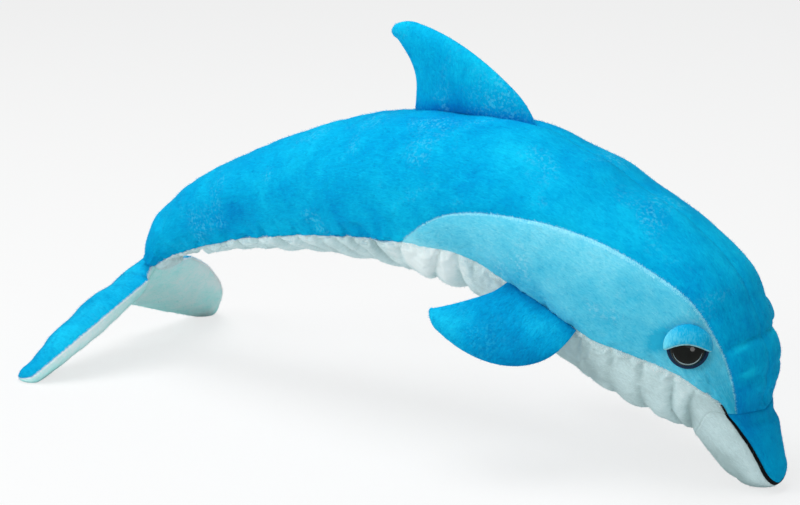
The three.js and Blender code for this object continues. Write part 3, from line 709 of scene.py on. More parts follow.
def cut_cloth(name, outer, inner, gathers):
    """A panel's cloth, cut longer than the seams that hold it, ready to be stuffed."""
    girth = np.linalg.norm(np.diff(outer, axis=1), axis=-1).sum(1)
    wide = np.flatnonzero(girth > SEWING.least_width)
    rows = wide[0] + coarser(wide[-1] - wide[0] + 1)
    columns = coarser(outer.shape[1])
    grid = np.ix_(rows, columns)
    coarse = outer[grid]
    turned = np.cross(np.diff(coarse, axis=1)[:-1], np.diff(coarse, axis=0)[:, :-1])
    inwards = np.sum(turned * (coarse - inner[grid])[:-1, :-1]) < 0
    thing = mesh_object(name, coarse, grid_faces(*coarse.shape[:2], flip=inwards))
    across = np.cumsum(np.linalg.norm(np.diff(coarse, axis=1, prepend=coarse[:, :1]), axis=-1), 1)
    gathered = [np.broadcast_to(gather, len(outer))[rows, None] * fade(distance, 0, SEWING.reach)
                for gather, distance in zip(gathers, (across, across[:, -1:] - across))]
    plain = 1 - np.maximum(*gathered) / SEWING.gather
    from_end = np.minimum(np.arange(len(rows)), np.arange(len(rows))[::-1])
    held = np.maximum(SEWING.hold, SEWING.ease ** from_end[:, None]) + 0 * plain
    held[:, [0, -1]] = 1
    for word, weights in (("held", held), ("plain", plain)):
        group = thing.vertex_groups.new(name=word)
        for index, weight in enumerate(weights.ravel().tolist()):
            group.add([index], weight, "REPLACE")
    cloth = thing.modifiers.new("cloth", "CLOTH")
    cloth.point_cache.frame_end = SEWING.frames
    cloth.collision_settings.use_collision = False
    cloth.settings.effector_weights.gravity = 0
    for word, value in CLOTH.items():
        setattr(cloth.settings, word, value)
    return thing, rows, columns, coarse


def settled(panels):
    """The panels' points once their cloth is gathered onto its seams and stuffed."""
    cut = {name: cut_cloth(f"{name}_cloth", *sheets) for name, sheets in panels.items()}
    for number in range(1, SEWING.frames + 1):
        SCENE.frame_set(number)
    graph = bpy.context.evaluated_depsgraph_get()
    outers = {}
    for name, (thing, rows, columns, coarse) in cut.items():
        after = np.empty(coarse.size, np.float32)
        thing.evaluated_get(graph).data.vertices.foreach_get("co", after)
        moved = unstood(after.reshape(coarse.shape)) - coarse
        length = np.linalg.norm(moved, axis=-1, keepdims=True)
        moved *= np.minimum(1, SEWING.limit / np.maximum(length, TINY))
        outer = panels[name][0]
        every_row, every_column = np.arange(outer.shape[0]), np.arange(outer.shape[1])
        moved = np.apply_along_axis(lambda line: np.interp(every_column, columns, line), 1, moved)
        moved = np.apply_along_axis(lambda line: np.interp(every_row, rows, line, left=0, right=0), 0, moved)
        outers[name] = above_floor(outer + moved)
        bpy.data.objects.remove(thing)
    SCENE.frame_set(1)
    return outers


def shell(name, outer, inner, uv, stroke, colour, nap=-1, fringed=()):
    """A closed sheet between two grids of points of one size, in the dolphin's own pose, and its pile."""
    rows, columns = outer.shape[:2]
    count = rows * columns
    at = np.arange(count).reshape(rows, columns)
    border = np.concatenate([at[0, :-1], at[:-1, -1], at[-1, :0:-1], at[:0:-1, 0]])
    after = np.roll(border, -1)
    rim = np.stack([after, border, border + count, after + count], 1).tolist()
    faces = grid_faces(rows, columns) + grid_faces(rows, columns, count, True) + rim
    sheet = smooth_object(name, np.stack([outer, inner]), faces, PLUSH[f"{colour} plush"],
                          np.stack([uv, uv]), np.stack([stroke, stroke]), len(rim))
    return [sheet, *pile(name, outer, inner, uv, stroke, colour, nap, fringed)]


# Materials
def srgb(red, green, blue):
    """A colour from its 0 to 255 screen values, as a shader takes it."""
    values = np.array([red, green, blue]) / 255
    linear = np.where(values <= 0.04045, values / 12.92, ((values + 0.055) / 1.055) ** 2.4)
    return (*linear.tolist(), 1.0)


class Nodes:
    """A short way to build the node tree of a material or the world."""

    def __init__(self, owner):
        owner.use_nodes = True
        self.owner = owner
        self.tree = owner.node_tree
        self.tree.nodes.clear()

    def add(self, kind, inputs=None, **settings):
        node = self.tree.nodes.new("ShaderNode" + kind)
        for key, value in settings.items():
            setattr(node, key, value)
        for key, value in (inputs or {}).items():
            self.put(node.inputs[key], value)
        return node

    def put(self, socket, value):
        if isinstance(value, bpy.types.NodeSocket):
            self.tree.links.new(value, socket)
        else:
            socket.default_value = value

    def math(self, operation, *values):
        return self.add("Math", dict(enumerate(values)), operation=operation).outputs[0]

    def place(self):
        return self.add("TexCoord").outputs["Object"]

    def noise(self, vector, scale, detail=2.0, roughness=0.5):
        values = {"Vector": vector, "Scale": scale, "Detail": detail, "Roughness": roughness}
        return self.add("TexNoise", values).outputs["Fac"]

    def spread_out(self, value, low, high, to_low=0.0, to_high=1.0):
        values = {"Value": value, "From Min": low, "From Max": high, "To Min": to_low, "To Max": to_high}
        return self.add("MapRange", values).outputs["Result"]

    def mixed(self, share, first, second):
        return self.add("Mix", {"Factor": share, 6: first, 7: second}, data_type="RGBA").outputs[2]

    def bump(self, height, strength, distance, **normal):
        values = {"Height": height, "Strength": strength, "Distance": distance, **normal}
        return self.add("Bump", values).outputs["Normal"]

    def seen_by_eye(self):
        """1 for what the camera sees itself, in gloss or through glass, and 0 for light on the object."""
        path = self.add("LightPath").outputs
        seen = self.math("MAXIMUM", path["Is Camera Ray"], path["Is Glossy Ray"])
        return self.math("MAXIMUM", seen, path["Is Transmission Ray"])

    def finish(self, shader, kind="OutputMaterial"):
        self.add(kind, {"Surface": shader.outputs[0]})
        return self.owner


# The plush's textures: scale, detail and roughness, and how much each changes the shade. Tufts and fibres
# are drawn out along the nap.
TEXTURES = {
    "cloud": (22, 3.0, 0.5, 2.2),
    "mottle": (90, 3.0, 0.6, 0.9),
    "tuft": (34, 3.0, 0.6, 0.8),
    "fibre": (110, 2.0, 0.7, 1.4),
}
STREAK = (0.34, 1.0, 1.0)
RUFFLED_SCALE = 30
RUFFLED_SPREAD = 0.15
SPECK_SCALE = 520
SPECK_RANGE = (0.5, 0.64, 0.0, 0.36)
TUFT_BUMP = (0.35, 0.001)
FIBRE_BUMP = (0.45, 0.0005)


def plush(name, dark, middle, light, ruffle, ruffled_from=0.57):
    """Short brushed pile: lighter and darker where it was stroked and where light and shade are painted on,
    pale specks where it was ruffled.
    """
    nodes = Nodes(bpy.data.materials.new(name))
    place = nodes.place()
    nap = nodes.add("UVMap", uv_map="nap").outputs["UV"]
    streaks = nodes.add("Mapping", {"Vector": nap, "Scale": STREAK}).outputs["Vector"]
    shade = nodes.add("Attribute", attribute_name="stroke").outputs["Fac"]
    made = {}
    for word, (*texture, amount) in TEXTURES.items():
        made[word] = nodes.noise(streaks if word in ("tuft", "fibre") else place, *texture)
        shade = nodes.math("MULTIPLY_ADD", made[word], amount, shade)
    even = sum(texture[-1] for texture in TEXTURES.values()) / 2
    ramp = nodes.add("ValToRGB", {"Fac": nodes.spread_out(shade, even - 1, even + 1)})
    ramp.color_ramp.elements.new(0.5)
    for stop, colour in zip(ramp.color_ramp.elements, (dark, middle, light)):
        stop.color = srgb(*colour)
    patches = nodes.noise(place, RUFFLED_SCALE)
    ruffled = nodes.spread_out(patches, ruffled_from, ruffled_from + RUFFLED_SPREAD)
    specks = nodes.spread_out(nodes.noise(place, SPECK_SCALE), *SPECK_RANGE)
    pale = nodes.math("MULTIPLY", ruffled, specks)
    tufts = nodes.bump(made["tuft"], *TUFT_BUMP)
    return nodes.finish(nodes.add("BsdfPrincipled", {
        "Base Color": nodes.mixed(pale, ramp.outputs["Color"], srgb(*ruffle)),
        "Roughness": 0.95,
        "Specular IOR Level": 0.05,
        "Sheen Weight": 0.06,
        "Sheen Roughness": 0.45,
        "Sheen Tint": srgb(*light),
        "Normal": nodes.bump(made["fibre"], *FIBRE_BUMP, Normal=tufts),
    }))


def mottled(name, colour, roughness, tone, texture, texture_range, specular=0.5, bump=None):
    """A plain material with a grain that takes its colour to another tone."""
    nodes = Nodes(bpy.data.materials.new(name))
    grain = nodes.noise(nodes.place(), *texture)
    base = srgb(*colour)
    toned = (*(channel * tone for channel in base[:3]), 1.0)
    values = {
        "Base Color": nodes.mixed(nodes.spread_out(grain, *texture_range), base, toned),
        "Roughness": roughness,
        "Specular IOR Level": specular,
    }
    if bump:
        values["Normal"] = nodes.bump(grain, *bump)
    return nodes.finish(nodes.add("BsdfPrincipled", values))


# Colours of the plush, from 0 to 255: dark, middle and light pile, and ruffled pile
PLUSH_COLOURS = {
    "blue plush": ((0, 132, 202), (0, 170, 222), (14, 202, 242), (96, 210, 238)),
    "limb plush": ((0, 122, 182), (0, 158, 212), (22, 196, 236), (46, 186, 226)),
    "lid plush": ((0, 140, 196), (18, 172, 220), (110, 216, 238), (120, 218, 240)),
    "sky plush": ((44, 182, 220), (96, 206, 233), (140, 226, 244), (190, 238, 248)),
    # The fringes are paler than their plush: painted light, for the glow through the fibres along the seams
    "sky fringe": ((100, 212, 238), (132, 226, 246), (170, 238, 250), (196, 244, 252)),
    "white plush": ((182, 205, 206), (212, 235, 237), (240, 251, 251), (246, 252, 252)),
    "white fringe": ((216, 238, 240), (240, 250, 250), (250, 253, 253), (252, 254, 254)),
    # The flukes' undersides: white cloth with painted shade and blue bounce light, in a darker teal tint
    "shade tinted white plush": ((146, 212, 211), (182, 246, 244), (236, 252, 252), (232, 250, 250)),
    "shade tinted white fringe": ((206, 238, 238), (234, 250, 250), (250, 253, 253), (252, 254, 254)),
}
PLUSH = {name: plush(name, *colours) for name, colours in PLUSH_COLOURS.items()}
PLUSH["fin plush"] = plush("fin plush", *PLUSH_COLOURS["blue plush"], ruffled_from=0.46)

MATT = {"tone": 0.6, "texture": (900, 3.0, 0.6), "texture_range": (0.4, 0.7), "bump": (0.2, 0.0003)}
GLOSSY = {"tone": 1.8, "texture": (160,), "texture_range": (0.35, 0.7), "specular": 0.12}
BRAID = mottled("black braid", (9, 11, 13), 0.9, specular=0.1, **MATT)
FELT = mottled("navy felt", (9, 44, 76), 0.95, **MATT)
WASHER = mottled("washer plastic", (216, 216, 210), 0.5, **MATT)
HEM = mottled("lid hem", (142, 208, 220), 0.9, **MATT)
BEAD = mottled("eye bead", (6, 9, 7), 0.08, **GLOSSY)
# A painted reflection: the pale arc on the lower part of the eye bead
BEAD_REFLECTION = mottled("painted bead reflection", (122, 142, 146), 0.3, **GLOSSY)


# The body
def spaced(start, end, pitch):
    return np.linspace(start, end, int(round(abs(end - start) / pitch)) + 1)


ROW_PITCH = 1.5
BEAK_PITCH = 1.2
TAIL_CAP_ROWS = 9
TIP_ROWS = 13
COLUMNS = {"belly": 96, "chin": 96, "beak": 56, "back": 58, "patch": 44}
FRONT_ROWS = spaced(PATCH_REAR, BEAK_CREASE, ROW_PITCH)
REAR_ROWS = spaced(TAIL_END, PATCH_REAR, ROW_PITCH)
BODY_ROWS = np.concatenate([TAIL_END - TAIL_CAP * rounding(TAIL_CAP_ROWS)[::-1], REAR_ROWS, FRONT_ROWS[1:]])


def beak_rows(start, pitch, tip_rows):
    """Distances along from a start to the end of the beak, closer together round its tip."""
    return np.concatenate([spaced(start, TIP_START, pitch), TIP_START + BEAK_TIP * rounding(tip_rows)])


BEAK_ROWS = beak_rows(BEAK_CREASE, BEAK_PITCH, TIP_ROWS)
# How much the cloth is gathered on either side of the belly's seam, and where the gathers begin and end
BELLY_GATHER = 0.2
BACK_GATHER = 0.12
PATCH_GATHER = 0.03
TAIL_GATHER_START = 12
THROAT_GATHER_END = 40
BACK_GATHER_END = (-20, 10)
# Millimetres of the nap's map to a radian round the body, and to one unit of the map
NAP_RADIUS = 45
NAP_SCALE = 100


def back_edge(along):
    return np.where(along < PATCH_REAR, belly_seam(along), patch_edge(along))


def mirrored(seam, sign, whole=0):
    """A seam as it runs on one side, or past the belly on the other side."""
    return lambda along: whole + sign * seam(along)


def body_grid(rows, from_angle, to_angle, columns, crowding=0.35):
    """Distances along and angles of a panel's points, which lie closer together near both edges."""
    along = rows[:, None]
    even = np.linspace(0, 1, columns + 1)
    shares = (1 - crowding) * even + crowding * (0.5 - 0.5 * np.cos(math.pi * even))
    first, last = from_angle(along), to_angle(along)
    angle = first + (last - first) * shares
    return np.broadcast_to(along, angle.shape), angle


def body_cuts():
    """Each panel's rows and edges, its colour, its fringed edges, and how its edges are gathered."""
    upper, lower = (0, -1), (-1, 1)
    from_tail = 1 - fade(BODY_ROWS, TAIL_END, TAIL_END + TAIL_GATHER_START)
    gusset = BELLY_GATHER * fade(BODY_ROWS, BEAK_CREASE - THROAT_GATHER_END, BEAK_CREASE) * from_tail
    flank = BACK_GATHER * fade(BODY_ROWS - PATCH_REAR, *BACK_GATHER_END) * from_tail
    cuts = {
        "belly_plush": (BODY_ROWS, belly_seam, mirrored(belly_seam, -1, 360), "white", (upper, lower),
                        (gusset, gusset)),
        "chin_plush": (BEAK_ROWS, mouth_line, mirrored(mouth_line, -1, 360), "white", (), (0, 0)),
        "beak_plush": (BEAK_ROWS, mirrored(mouth_line, -1), mouth_line, "blue", (), (0, 0)),
    }
    for side, sign in SIDES:
        edges = mirrored(np.zeros_like, sign), mirrored(back_edge, sign)
        cuts[f"back_plush_{side}"] = (BODY_ROWS, *edges, "blue", (), (0, flank))
    for side, sign in SIDES:
        edges = mirrored(patch_edge, sign), mirrored(belly_seam, sign)
        cuts[f"patch_plush_{side}"] = (FRONT_ROWS, *edges, "sky", (upper,), (0, PATCH_GATHER))
    return cuts


def body_pieces():
    cuts = body_cuts()
    grids = {name: body_grid(*cut[:3], COLUMNS[name.split("_")[0]]) for name, cut in cuts.items()}
    inner = {name: skin(*grid, CLOTH_DEPTH) for name, grid in grids.items()}
    outer = settled({name: (raised(*grid), inner[name], cuts[name][-1]) for name, grid in grids.items()})
    made = {}
    for name, (along, angle) in grids.items():
        uv = np.stack([along, np.radians(angle) * NAP_RADIUS], -1) / NAP_SCALE
        # The pile's strokes with painted light and shade, and painted shade in the creases of the folds
        stroke = hills(along, from_the_back(angle), STROKES_AND_PAINTED_LIGHT)
        stroke += FOLD_SHADE * np.minimum(belly_folds(along, angle), 0)
        colour, fringed = cuts[name][3:5]
        made[name] = shell(name, outer[name], inner[name], uv, stroke, colour, fringed=fringed)
    for side, _ in SIDES:
        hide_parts(f"back_panel_{side}")
        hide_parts(f"side_patch_{side}")
    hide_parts("belly_panel", "tail_stuffing", "loin_stuffing", "chest_stuffing",
                "head_stuffing")
    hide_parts("chin_panel", "beak_stuffing")
    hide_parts("beak_panel")
    for name, pieces in made.items():
        for piece in pieces:
            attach(piece, "torso")


def tube(name, path, out, widths, heights, sides, material):
    """A closed tube along a path, flattened to its own width and height at each point."""
    ahead = unit(np.gradient(path, axis=0))
    across = unit(np.cross(out, ahead))
    turns = np.linspace(0, 2 * math.pi, sides, endpoint=False)
    rings = (path[:, None]
             + across[:, None] * (widths[:, None] * np.cos(turns))[..., None]
             + out[:, None] * (heights[:, None] * np.sin(turns))[..., None])
    last = len(path) * sides
    caps = [list(range(sides)), list(range(last - 1, last - sides - 1, -1))]
    return smooth_object(name, rings, grid_faces(len(path), sides, wrap_columns=1) + caps, material)


def mouth_braid():
    """The black braid in the mouth seam, from one corner round the tip to the other."""
    rows = beak_rows(BEAK_CREASE - MOUTH_CORD.past_corner, MOUTH_CORD.step, MOUTH_CORD.tip_rows)
    angles = np.where(rows < BEAK_CREASE, belly_seam(rows), mouth_line(rows))
    angles = np.concatenate([angles, -angles[-2::-1]])
    rows = np.concatenate([rows, rows[-2::-1]])
    share = (rows - rows[0]) / (TIP_END - rows[0])
    path = raised(rows, angles)
    out = unit(path - spine_at(np.minimum(rows, TIP_START)))
    length = np.concatenate([[0], np.cumsum(np.linalg.norm(np.diff(path, axis=0), axis=1))])
    braid = 1 + MOUTH_CORD.braid * np.abs(np.sin(math.pi * length / MOUTH_CORD.twist))
    wider = (MOUTH_CORD.width - MOUTH_CORD.corner) * share**MOUTH_CORD.widening
    higher = (MOUTH_CORD.height - MOUTH_CORD.corner_height) * np.sqrt(share)
    widths = (MOUTH_CORD.corner + wider) * braid
    heights = (MOUTH_CORD.corner_height + higher) * braid
    piece = tube("mouth_braid", path + out * MOUTH_CORD.proud, out, widths, heights, MOUTH_CORD.sides, BRAID)
    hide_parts("mouth_cord")
    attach(piece, "torso")


# Eyes
def eye_frame(sign):
    """Origin and axes of an eye: along the lid's edge, to the lid's crown, and out."""
    angle = np.float64(sign * EYE.angle)
    out = outward(EYE_ALONG, angle)
    forward = unit(skin(EYE_ALONG + 1, angle) - skin(EYE_ALONG - 1, angle))
    crown = sign * np.cross(out, forward)
    turn = sign * math.radians(EYE.lid_turn)
    crown = crown * math.cos(turn) + np.cross(out, crown) * math.sin(turn)
    across = np.cross(crown, out)
    return skin(EYE_ALONG, angle) - out * EYE.sink, np.stack([across, crown, out])


def lathe(name, profile, place, material, steps=64):
    """A turned piece from a profile of radius and height."""
    origin, axes = place
    turns = np.linspace(0, 2 * math.pi, steps, endpoint=False)
    radius, height = np.array(profile, float).T[..., None]
    grid = np.stack([radius * np.cos(turns), radius * np.sin(turns), height + 0 * turns], -1)
    faces = grid_faces(len(profile), steps, wrap_columns=1)
    return smooth_object(name, grid @ axes + origin, faces, material)


def lid_turn(share, rounds):
    """How far the hood has turned from where it is tucked in, at share 0, to its arched edge, at share 1."""
    edge = np.arccos(LID.rise / LID.crown * np.sin(rounds))
    tuck = math.radians(LID.tuck)
    return tuck + (edge - tuck) * share


def hood(turn, offset, rounds):
    """A line over the eye from corner to corner, turned up from the face about its corners."""
    reach = LID.radius - LID.thickness / 2 + offset * np.sin(rounds) ** LID.fullness
    radial = reach * np.sin(rounds) / LID.radius
    up, out = radial * np.cos(turn) * LID.crown, radial * np.sin(turn) * LID.height
    return np.stack([reach * np.cos(rounds), up - LID.corner_drop, out], -1)


def eyelid(name, place, sign):
    """A stuffed hood over the upper half of the bead, with a rolled edge, palest at its rear corner."""
    origin, axes = place
    rounds = np.linspace(0, math.pi, LID.columns)
    half = LID.thickness / 2
    shares = np.linspace(0, 1, LID.rows)
    roll = np.linspace(math.pi / 2, -math.pi / 2, LID.roll_rows)[1:-1]
    loop = [(lid_turn(share, rounds), half) for share in shares]
    loop += [(lid_turn(1, rounds) + math.cos(t) * half / LID.radius, half * math.sin(t)) for t in roll]
    loop += [(lid_turn(share, rounds), -half) for share in shares[::-1]]
    grid = np.array([hood(turn, offset, rounds) for turn, offset in loop])
    grid += LID.lump * lumps(grid * LID.lump_scale, SMALL_LUMPS)[..., None] * unit(grid)
    size = grid.shape[:2]
    uv = np.stack(np.meshgrid(*(np.linspace(0, far, n) for far, n in zip(LID.nap, size)), indexing="ij"), -1)
    rear = np.broadcast_to(np.cos(rounds) * -sign, size)
    piece = smooth_object(name, grid @ axes + origin, grid_faces(*size, wrap_rows=1), PLUSH["lid plush"], uv,
                          LID.pale_corner * np.clip(rear, 0, 1) ** 2)
    return piece


def eye_cord(name, path, sizes, place, material):
    """A thin round cord on an eye."""
    origin, axes = place
    return tube(name, path @ axes + origin, unit(path) @ axes, sizes, sizes, EYE.cord_sides, material)


def lid_hem(name, place):
    """The pale piped edge of the lid."""
    rounds = np.linspace(LID.hem_ends, math.pi - LID.hem_ends, LID.hem_steps)
    path = hood(lid_turn(1, rounds) + LID.hem_turn, -LID.hem_inset, rounds)
    return eye_cord(name, path, np.full(len(path), LID.hem), place, HEM)


def bead_reflection(name, place):
    """A painted reflection: a pale arc round the lower part of the bead, fading out to both sides."""
    turns = np.radians(np.linspace(*EYE.rim_turns))
    radius = EYE.pupil_radius
    level = EYE.bead_height * math.sqrt(1 - (radius / EYE.bead_radius) ** 2)
    path = np.stack([radius * np.cos(turns), radius * np.sin(turns), np.full(len(turns), level)], -1)
    arch = np.sin(np.linspace(0, math.pi, len(turns))) ** EYE.rim_shape
    sizes = EYE.rim_end + (EYE.rim - EYE.rim_end) * arch
    return eye_cord(name, path, sizes, place, BEAD_REFLECTION)


def eyes():
    dome = [(EYE.bead_radius * math.cos(t), EYE.bead_height * math.sin(t))
            for t in np.linspace(0, math.pi / 2, EYE.dome_rows)]
    for side, sign in SIDES:
        place = eye_frame(sign)
        made = {
            "eye_bead": lathe(f"eye_dome_{side}", EYE.stem + dome, place, BEAD),
            "eye_felt": lathe(f"eye_disc_{side}", EYE.felt, place, FELT),
            "eyelid": eyelid(f"lid_plush_{side}", place, sign),
            "bead_reflection": bead_reflection(f"bead_reflection_{side}", place),
            "lid_hem": lid_hem(f"lid_hem_{side}", place),
        }
        for word, piece in made.items():
            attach(piece, "torso")
        for word in ("eye_bead", "eye_felt", "eyelid"):
            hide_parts(f"{word}_{side}")
        washer = frame["nodes"][f"eye_washer_{side}"]
        washer.data.materials.clear()
        washer.data.materials.append(WASHER)


# Limbs
LIMB_ROWS = 64
CAP_ROWS = 14
ROOT_POINTS = 40
LIMB_COLUMNS = -np.cos(np.linspace(0, math.pi, 49))
CAP_TURNS = np.linspace(0, math.pi / 2, CAP_ROWS)[1:]
# How far a limb is let into the body, the share of it that follows the body's curve, how its rows crowd and
# its stuffing thins out, how round and lumpy it is, and a distance out from its root, handed on with its
# hinge
LIMB = SimpleNamespace(seat=2.5, seated=0.22, crowding=1.1, thinning=0.6, roundness=0.62, lump=0.35, bend=16)


def bezier(points, t):
    a, b, c, d = np.array(points, float)
    t = t[:, None]
    return (1 - t) ** 3 * a + 3 * (1 - t) ** 2 * t * b + 3 * (1 - t) * t**2 * c + t**3 * d


def capped(leading, trailing, tip):
    """Middle and half width of each row between two edges, with a round cap up to the tip."""
    middle, half = (leading + trailing) / 2, (leading - trailing) / 2
    cap_middle = middle[-1] + (tip - middle[-1]) * np.sin(CAP_TURNS)[:, None]
    cap_half = half[-1] * np.cos(CAP_TURNS)[:, None]
    return np.concatenate([middle, cap_middle]), np.concatenate([half, cap_half])


def row_points(middle, half):
    """The points of each row, from edge to edge."""
    return middle[:, None] + half[:, None] * LIMB_COLUMNS[None, :, None]


def swollen(thick, roundness, lump):
    """Height of the stuffing over each point, from how thick each row is."""
    crown = (1 - LIMB_COLUMNS**2) ** roundness
    return np.maximum(thick[:, None] * crown + lump * np.sqrt(crown), 0)[..., None]


def sewn_on(pieces, body, slot, start, end):
    for piece in pieces:
        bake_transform(piece)


def root_line(curve, out):
    """Start, axis and outward direction of a limb's hinge line on a curve of the body."""
    axis = unit(curve[-1] - curve[0])
    away = unit(out - axis * (out @ axis))
    rise = max((curve - curve[0]) @ away)
    return curve[0] + away * (rise + SEAM_GAP + LIMB_EDGE), axis, away


def limb_pieces(names, shape, curve, out, shift, strokes_and_shade, colour, slot, body):
    """The two stuffed halves of a limb, sewn round the edge and let into the body along its root."""
    start, axis, away = root_line(curve, out)
    start = start + axis * shift
    shares = np.linspace(0, 1, LIMB_ROWS) ** LIMB.crowding * shape.cap_start
    tip = (np.array(shape.leading[-1]) + np.array(shape.trailing[-1])) / 2
    flat = row_points(*capped(bezier(shape.leading, shares), bezier(shape.trailing, shares), tip))
    thick = LIMB_EDGE + shape.swell * 2 * np.sqrt(shares) * (1 - shares) ** LIMB.thinning
    thick = np.concatenate([thick, thick[-1] * np.cos(CAP_TURNS)])
    shares = np.concatenate([shares, np.ones(len(CAP_TURNS))])[:, None]
    root = (curve - start) @ np.stack([axis, away], 1)
    seat = np.interp(flat[..., 0], *root.T) - LIMB.seat
    flat[..., 1] += seat * np.clip(1 - shares / LIMB.seated, 0, 1) ** 2
    level = start + flat[..., :1] * axis + flat[..., 1:] * away
    height = swollen(thick, LIMB.roundness, LIMB.lump * lumps(level, SMALL_LUMPS))
    stroke = hills(shares, LIMB_COLUMNS, strokes_and_shade)
    hinge = stood(start + axis * flat[0, :, 0].mean())
    for name, face in zip(names, (1, -1)):
        outer = level + face * height * np.cross(axis, away)
        pieces = shell(name, outer, level, flat[..., ::-1] / NAP_SCALE, stroke, colour, nap=1)
        sewn_on(pieces, body, slot, hinge, hinge + STAND_TURN @ away * LIMB.bend * MM)


def fin():
    curve = skin(np.linspace(FIN.start, FIN.start + FIN.sewn, ROOT_POINTS), 0)
    upwards = np.array([0.0, 0, 1])
    names = ("fin_plush_right", "fin_plush_left")
    limb_pieces(names, FIN, curve, upwards, 0, FIN_STROKES_AND_PAINTED_LIGHT, "fin", "blue_plush", "dorsal_fin")
    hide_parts("fin_panel_right", "fin_stuffing")
    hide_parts("fin_panel_left")


def flippers():
    share = np.linspace(-0.5, 0.5, ROOT_POINTS)
    angle = FLIPPER.rear_angle + (FLIPPER.front_angle - FLIPPER.rear_angle) * (share + 0.5)
    droop = math.radians(FLIPPER.droop)
    for side, sign in SIDES:
        curve = skin(FLIPPER.middle + share * FLIPPER.sewn, sign * angle)
        out = np.array([0, -sign * math.cos(droop), -math.sin(droop)])
        half = np.linalg.norm(curve[-1] - curve[0]) / 2
        names = (f"flipper_plush_under_{side}", f"flipper_plush_top_{side}")[::sign]
        body = f"{side}_flipper"
        limb_pieces(names, FLIPPER, curve, out, half, FLIPPER_STROKES_AND_PAINTED_LIGHT, "limb", "limb_plush", body)
        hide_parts(f"flipper_top_{side}",
                    f"flipper_stuffing_{side}")
        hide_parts(f"flipper_under_{side}")


def fluke_edge(knots, shares):
    """Points of a blade's edge, as distance forward and to the dolphin's left."""
    share, out, ahead = np.array(knots, float).T
    return np.stack([Smooth(share, ahead)(shares), -Smooth(share, out)(shares)], -1)


def fluke_turn():
    """The blade's turn from lying flat and straight out."""
    turn = Matrix.Identity(3)
    for axis, degrees in (("Z", -FLUKE.toe), ("Y", -FLUKE.pitch), ("X", FLUKE.droop)):
        turn = turn @ Matrix.Rotation(math.radians(degrees), 3, axis)
    return np.array(turn)


def fluke_lumps(row, table):
    return sum(height * bump(row, at, reach) for at, height, reach in table)


def flukes():
    shares = np.linspace(0, FLUKE.cap_start, FLUKE.rows)
    edges = FLUKE.leading, FLUKE.trailing
    tip = sum(fluke_edge(edge, FLUKE.cap_end) for edge in edges) / 2
    flat = row_points(*capped(*(fluke_edge(edge, shares) for edge in edges), tip))
    row = np.concatenate([shares, shares[-1] + (1 - shares[-1]) * np.sin(CAP_TURNS)])
    full = np.concatenate([np.ones(len(shares)), np.cos(CAP_TURNS)])
    thick = (LIMB_EDGE + FLUKE.swell * (1 - FLUKE.taper * row**2)) * full
    thinner, *thin_range = FLUKE.thin_end
    dent = 1 + fluke_lumps(row, FLUKE.top_lumps) + FLUKE.ripple * np.sin(row * FLUKE.ripples)
    dent -= thinner * (1 - fade(row, *thin_range))
    slim = 1 + fluke_lumps(row, FLUKE.under_lumps)
    belly = fluke_lumps(row, FLUKE.belly) * full
    turn = fluke_turn()
    normal = turn[:, 2]
    upright = unit(np.array([normal[0], 0, normal[2]]))
    near = np.clip(1 - row / FLUKE.ridge_share, 0, 1)[:, None]
    way = unit(normal + (upright - normal) * near)[:, None]
    ridge = FLUKE.ridge * (near**2 * (LIMB_COLUMNS + 1) / 2 - 1)
    level = flat @ turn[:, :2].T + ridge[..., None] * upright
    hinge = fluke_hinge()
    bend = stood(hinge), stood(hinge + np.array(FLUKE.bend_end))
    for side, sign in SIDES:
        mirror = np.array([1, sign, 1])
        drop = FLUKE.seam_drop[side] * (1 - fade(row, *FLUKE.seam_from[side])) * full
        base = (level - drop[:, None, None] * way) * mirror + hinge
        lump = FLUKE.lump * lumps(base, SMALL_LUMPS)
        tops = (thick + drop) * dent
        unders = (thick - FLUKE.under_seam * drop + belly) * slim
        # The under sheets are white cloth with painted shade and blue bounce light in their colour
        for word, face, heights, colour, fringed in (("top", 1, tops, "limb", ()),
                                                     ("under", -1, unders, "shade tinted white", ((-1, 1),))):
            outer = base + face * swollen(heights, FLUKE.roundness, lump) * (way * mirror)
            for sheet in (outer, base):
                sheet[0, :, 1] = 0
            stroke = hills(row[:, None], LIMB_COLUMNS, FLUKE_STROKES_AND_PAINTED_LIGHT[word])
            pieces = shell(f"fluke_plush_{word}_{side}", above_floor(outer), above_floor(base),
                           flat / NAP_SCALE, stroke, colour, nap=1, fringed=fringed)
            sewn_on(pieces, "flukes", f"{colour}_plush", *bend)
            stuffing = [f"fluke_stuffing_{side}"] if word == "top" else []
            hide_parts(f"fluke_{word}_{side}", *stuffing)


# Stage, light and camera
FLOOR_SIZE = 14.0
FLOOR_COLOUR = (0.82, 0.83, 0.83, 1)
FLOOR_GLOW = 0.72
WORLD_LIGHT = 0.3
WHITE = (1, 1, 1, 1)


def stage():
    mesh = bpy.data.meshes.new("studio_floor")
    corners = [(x * FLOOR_SIZE, y * FLOOR_SIZE, 0) for x, y in ((-1, -1), (1, -1), (1, 1), (-1, 1))]
    mesh.from_pydata(corners, [], [(0, 1, 2, 3)])
    nodes = Nodes(bpy.data.materials.new("pale floor"))
    matt = nodes.add("BsdfDiffuse", {"Color": FLOOR_COLOUR})
    glow = nodes.add("Emission", {"Color": WHITE, "Strength": 1.0})
    share = nodes.spread_out(nodes.seen_by_eye(), 0, 1, 0.0, FLOOR_GLOW)
    mix = nodes.add("MixShader", {0: share, 1: matt.outputs[0], 2: glow.outputs[0]})
    mesh.materials.append(nodes.finish(mix))
    linked("studio_floor", mesh)


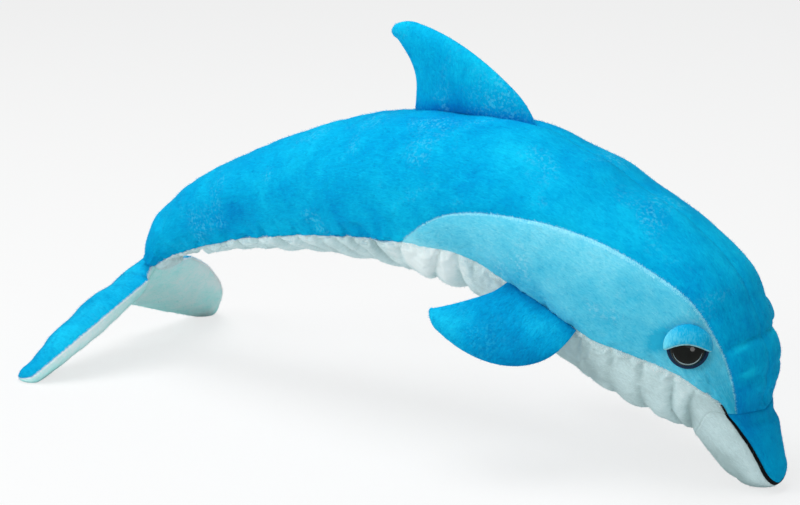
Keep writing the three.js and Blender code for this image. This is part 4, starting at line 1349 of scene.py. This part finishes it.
def light(name, place, aim, size, power, colour=(1, 1, 1)):
    lamp = bpy.data.lights.new(name, "AREA")
    lamp.shape = "DISK"
    lamp.size = size
    lamp.energy = power
    lamp.color = colour
    thing = linked(name, lamp)
    thing.location = place
    thing.rotation_euler = (Vector(aim) - Vector(place)).to_track_quat("-Z", "Y").to_euler()
    return thing


def lights():
    for name, (place, *lamp) in LAMPS.items():
        light(name, place, LAMPS_AIM, *lamp)
    SCENE.world = bpy.data.worlds.new("studio")
    nodes = Nodes(SCENE.world)
    dim = nodes.add("Background", {"Color": WHITE, "Strength": WORLD_LIGHT})
    bright = nodes.add("Background", {"Color": WHITE, "Strength": 1.0})
    mix = nodes.add("MixShader", {0: nodes.seen_by_eye(), 1: dim.outputs[0], 2: bright.outputs[0]})
    nodes.finish(mix, "OutputWorld")


def catchlights():
    """A small low lamp for each eye, which lights its bead alone and glints in it."""
    for side, sign in SIDES:
        place, aim = [(x, sign * y, z) for x, y, z in (CATCHLIGHT.place, CATCHLIGHT.aim)]
        lamp = light(f"catchlight_{side}", place, aim, CATCHLIGHT.size, CATCHLIGHT.power)
        lit = bpy.data.collections.new(f"lit_bead_{side}")
        lit.objects.link(bpy.data.objects[f"eye_dome_{side}"])
        lamp.light_linking.receiver_collection = lit


def camera():
    azimuth, elevation = math.radians(CAMERA.azimuth), math.radians(CAMERA.elevation)
    right = np.array([math.cos(azimuth), math.sin(azimuth), 0])
    level = np.array([math.sin(azimuth), -math.cos(azimuth), 0])
    back = level * math.cos(elevation) + np.array([0, 0, math.sin(elevation)])
    matrix = np.eye(4)
    matrix[:3, :3] = STAND_TURN @ np.stack([right, np.cross(back, right), back], 1)
    matrix[:3, 3] = stood(np.array(CAMERA.target) + back * CAMERA.distance)
    lens = bpy.data.cameras.new("camera")
    lens.lens = CAMERA.lens
    lens.sensor_width = CAMERA.sensor
    lens.clip_start = CAMERA.nearest
    SCENE.camera = linked("camera", lens)
    SCENE.camera.matrix_world = Matrix(matrix.tolist())


camera()
lights()
stage()
body_pieces()
mouth_braid()
eyes()
catchlights()
fin()
flippers()
flukes()
SCENE.view_settings.view_transform = "Standard"
